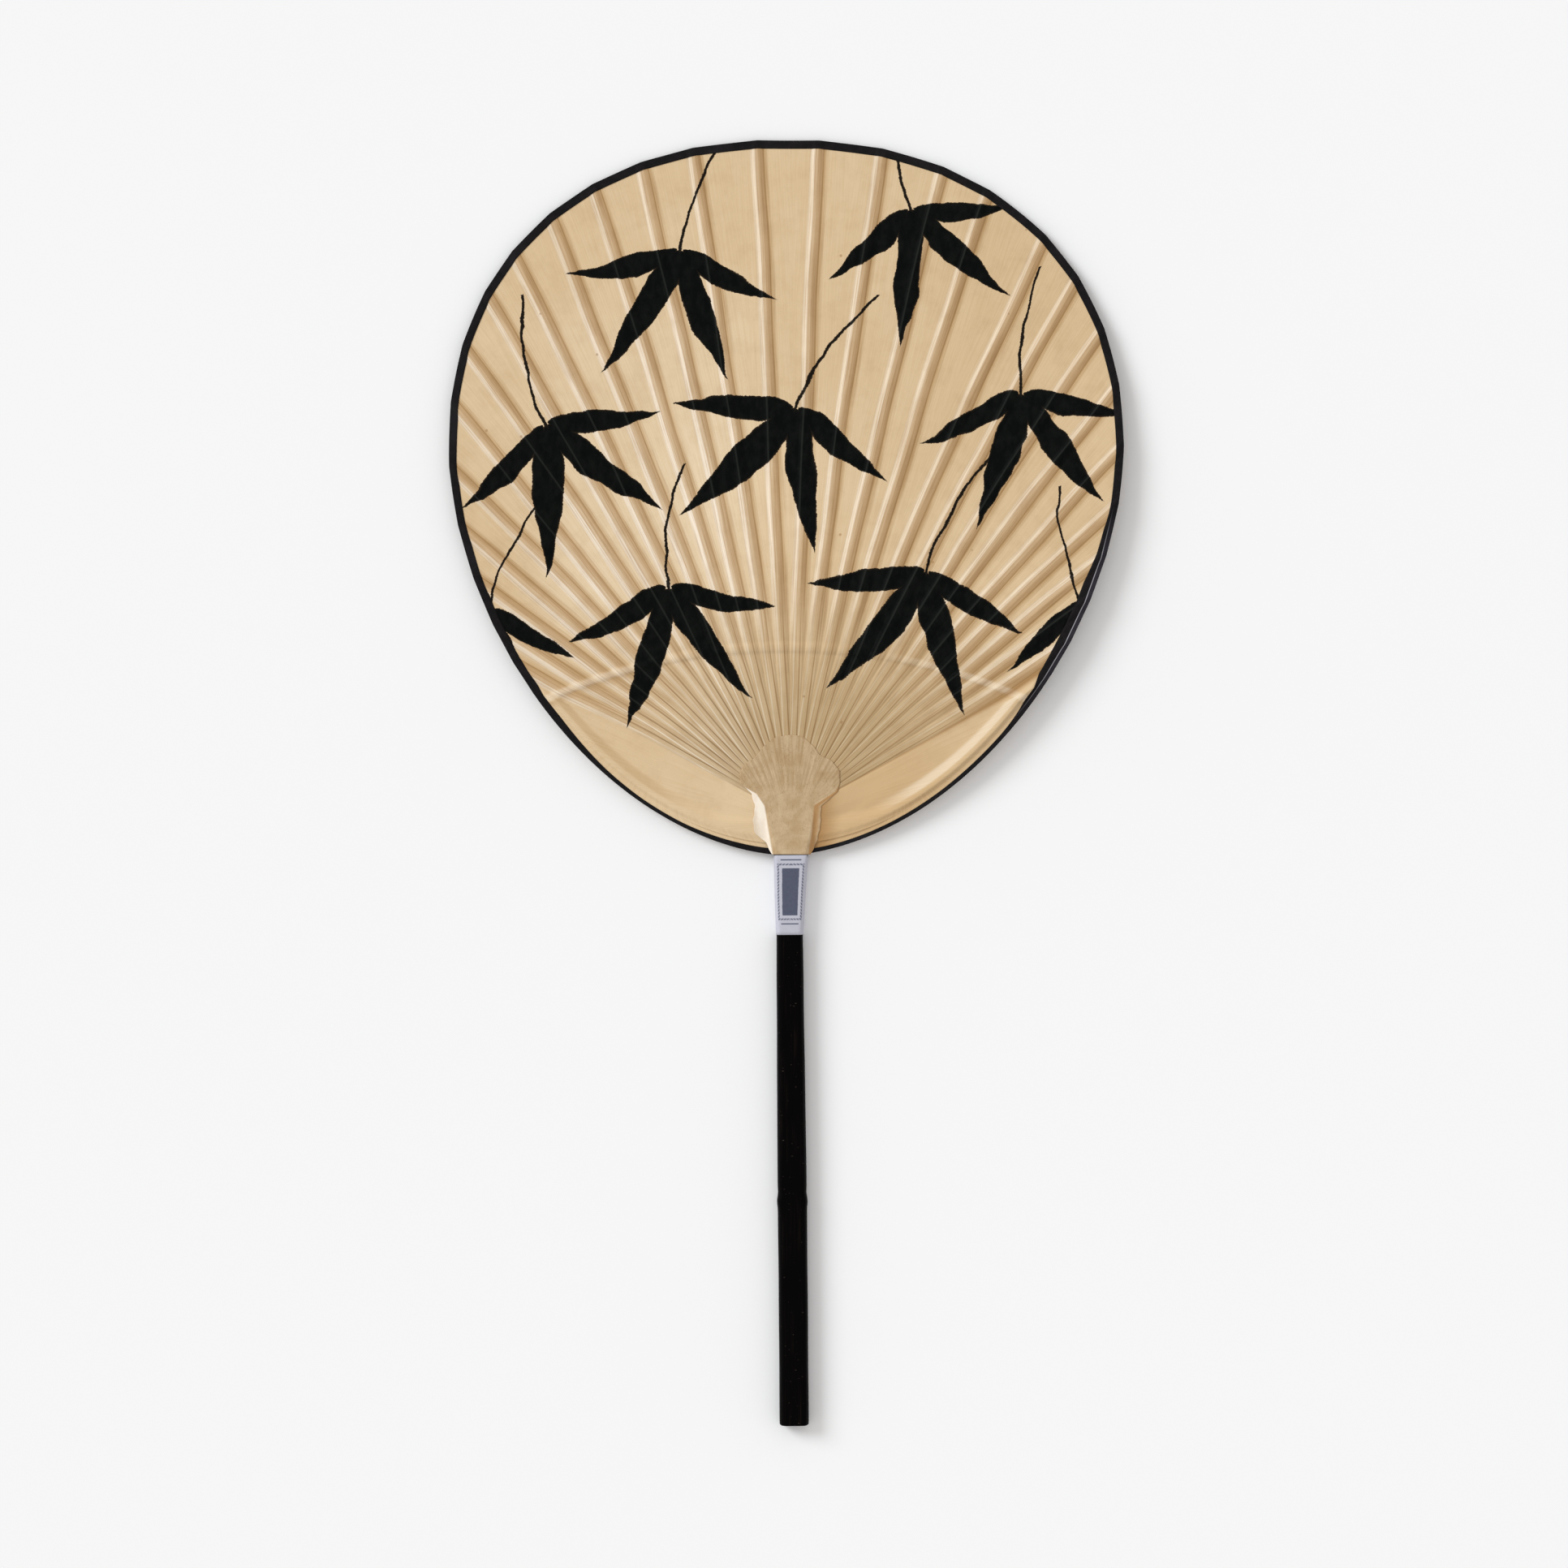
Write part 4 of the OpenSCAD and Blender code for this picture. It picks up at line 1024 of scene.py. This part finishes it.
# Painted shade on the right flap, which faces away from the light, fading out from its fold.
fold = strong.times(strong.ramp(past_right, -0.4, 0.3, 0.0, 0.9),
                    strong.ramp(past_right, 0.9, 2.6, 1.0, 0.2))
strong.coat(fold, 175, 132, 84)
grain = strong.noise(spot, 1100.0, 3.0, 0.6)
strong.bumps(grain, 0.00008, 0.8)
sheen = strong.ramp(grain, 0.3, 0.7, 0.8, 0.93)
strong_paper = strong.surface(sheen, Specular_IOR_Level=0.12)
for patch, node in ((front_patch, "front_neck_patch"), (back_patch, "back_neck_patch")):
    patch.data.materials.append(strong_paper)
    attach(patch, "root")
    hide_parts(node)

# Label: a strip of thin pale paper wrapped once round the top of the handle and pasted on itself at
# the back, over the foot of the neck patches. A plain panel and rules are printed in slate blue.
LABEL_T, LABEL_GLUE, LAP_GLUE = 0.13, 0.05, 0.02
OVERLAP = math.radians(24.0)
PANEL_Y, PANEL_W, PANEL_H = 15.3, 5.7, 16.8
FRAME_GAP, FRAME_HALF, RULE_OUT, RULE_HALF = 1.35, 0.4, 11.4, 0.27
around = np.linspace(-math.pi / 2.0 - OVERLAP / 2.0, 1.5 * math.pi + OVERLAP / 2.0, 110)
label_y = np.linspace(LABEL_Y, NECK_Y - 0.15, 24)


def label_layer(margin):
    """A wrap of the handle at a margin, its last turn lying over its first."""
    lap = blend_in((around - around[0] - 2.0 * math.pi + 2.0 * OVERLAP) / OVERLAP)
    grow = margin + (LABEL_T + LAP_GLUE) * lap
    x, z = flattened(stem_r(label_y)[:, None] + grow, stem_half_t(label_y)[:, None] + grow, around)
    return on_handle(x, label_y[:, None] + 0.0 * x, z)


wrapped = label_layer(LABEL_GLUE + LABEL_T)
arc = np.linalg.norm(np.diff(wrapped[12], axis=0), axis=1)
arc = np.cumsum(np.concatenate([[0.0], arc]))
arc = arc - np.interp(math.pi / 2.0, around, arc)
places = np.stack(np.broadcast_arrays(arc, label_y[:, None] - LABEL_Y), -1)
label = shell("handle_label", wrapped, label_layer(LABEL_GLUE),
              lay_of(places[:, :-1], places[:, 1:]))

pale = Finish("printed_label")
spot = pale.place()
across, height = pale.lay()
from_middle = pale.size(pale.less(height, PANEL_Y))
shaky = pale.less(pale.noise(spot, 900.0, 2.0), 0.5)
wobble = pale.math("MULTIPLY_ADD", shaky, 0.3, pale.size(across))
panel = pale.math("MINIMUM", pale.less(PANEL_W / 2.0, wobble),
                  pale.less(PANEL_H / 2.0, from_middle))
notches = pale.math("FRACT", pale.times(pale.math("ADD", height, wobble), 0.9))
frame_line = pale.size(pale.math("ADD", panel, FRAME_GAP))
frame_line = pale.times(pale.fade(frame_line, 0.24, FRAME_HALF),
                        pale.ramp(notches, 0.3, 0.4, 0.2, 0.85))
end_rules = pale.size(pale.less(from_middle, RULE_OUT))
end_rules = pale.times(pale.fade(end_rules, 0.15, RULE_HALF), pale.fade(wobble, 3.3, 3.5))
printed = pale.math("MAXIMUM", frame_line, end_rules)
printed = pale.times(pale.math("MAXIMUM", pale.ramp(panel, -0.08, 0.08), printed), 0.95)
patchy = pale.noise(spot, 1200.0, 3.0)
white = pale.mixed(pale.noise(spot, 300.0, 3.0), paint(192, 192, 203), paint(181, 181, 192))
slate = pale.mixed(patchy, paint(56, 61, 80), paint(80, 86, 106))
pale.bumps(patchy, 0.00004, 0.7)
pale.colour = pale.mixed(printed, white, slate)
sheen = pale.ramp(patchy, 0.3, 0.7, 0.6, 0.75)
label.data.materials.append(pale.surface(sheen, Specular_IOR_Level=0.2))
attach(label, "root")
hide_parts("label_band")

# Setting: the fan lies on its back on a wide pale table under one large soft lamp from the left and
# even light from all round, seen from straight above.
FLOOR_REACH = 3.0
floor_work = bmesh.new()
bmesh.ops.create_grid(floor_work, x_segments=8, y_segments=8, size=FLOOR_REACH)
floor_mesh = bpy.data.meshes.new("floor")
floor_work.to_mesh(floor_mesh)
floor_work.free()
floor = put("floor", floor_mesh)
pale_table = Finish("pale_table")
tone = pale_table.noise(pale_table.place(), 3.0, 2.0)
pale_table.base(tone, (246, 246, 246), (247, 247, 247))
floor.data.materials.append(pale_table.surface(0.9, Specular_IOR_Level=0.0))

SUN_SHARE = 0.29
SUN_HEIGHT, SUN_WIDTH = math.radians(32.0), math.radians(28.0)
SUN_X, SUN_Y = -0.85, 0.53
sun = bpy.data.lights.new("window", "SUN")
sun.energy = math.pi * SUN_SHARE / math.sin(SUN_HEIGHT)
sun.angle = SUN_WIDTH
sun.color = (1.0, 1.037, 1.062)
flat = math.cos(SUN_HEIGHT)
toward = Vector((SUN_X * flat, SUN_Y * flat, math.sin(SUN_HEIGHT)))
put("window", sun).rotation_euler = toward.to_track_quat("Z", "Y").to_euler()

world = bpy.data.worlds.new("room")
world.use_nodes = True
bpy.context.scene.world = world
room = Finish("room", world.node_tree)
rays = room.add("LightPath").outputs
seen = rays["Is Camera Ray"]
for kind in ("Is Glossy Ray", "Is Transmission Ray"):
    seen = room.math("MAXIMUM", seen, rays[kind])
light = world.node_tree.nodes["Background"]
light.inputs["Color"].default_value = (1.0, 0.985, 0.975, 1.0)
light.inputs["Strength"].default_value = 1.0 - SUN_SHARE
backdrop = room.add("Background", {"Color": paint(246, 246, 246)})
choose = room.add("MixShader", {0: seen, 1: light.outputs[0], 2: backdrop.outputs[0]})
room.join(choose.outputs[0], world.node_tree.nodes["World Output"].inputs["Surface"])

# The camera hangs over the fan; VIEW_W is how much table fits into its frame at the face's height.
CAMERA_UP, FACE_UP, VIEW_W, SENSOR_W = 2.4, 0.004, 0.55866, 36.0
lens = bpy.data.cameras.new("camera")
lens.sensor_width = SENSOR_W
lens.lens = SENSOR_W * (CAMERA_UP - FACE_UP) / VIEW_W
lens.clip_end = 20.0
camera = put("camera", lens)
camera.location = (-0.00072, -0.00042, CAMERA_UP)
bpy.context.scene.camera = camera
bpy.context.scene.view_settings.view_transform = "Standard"
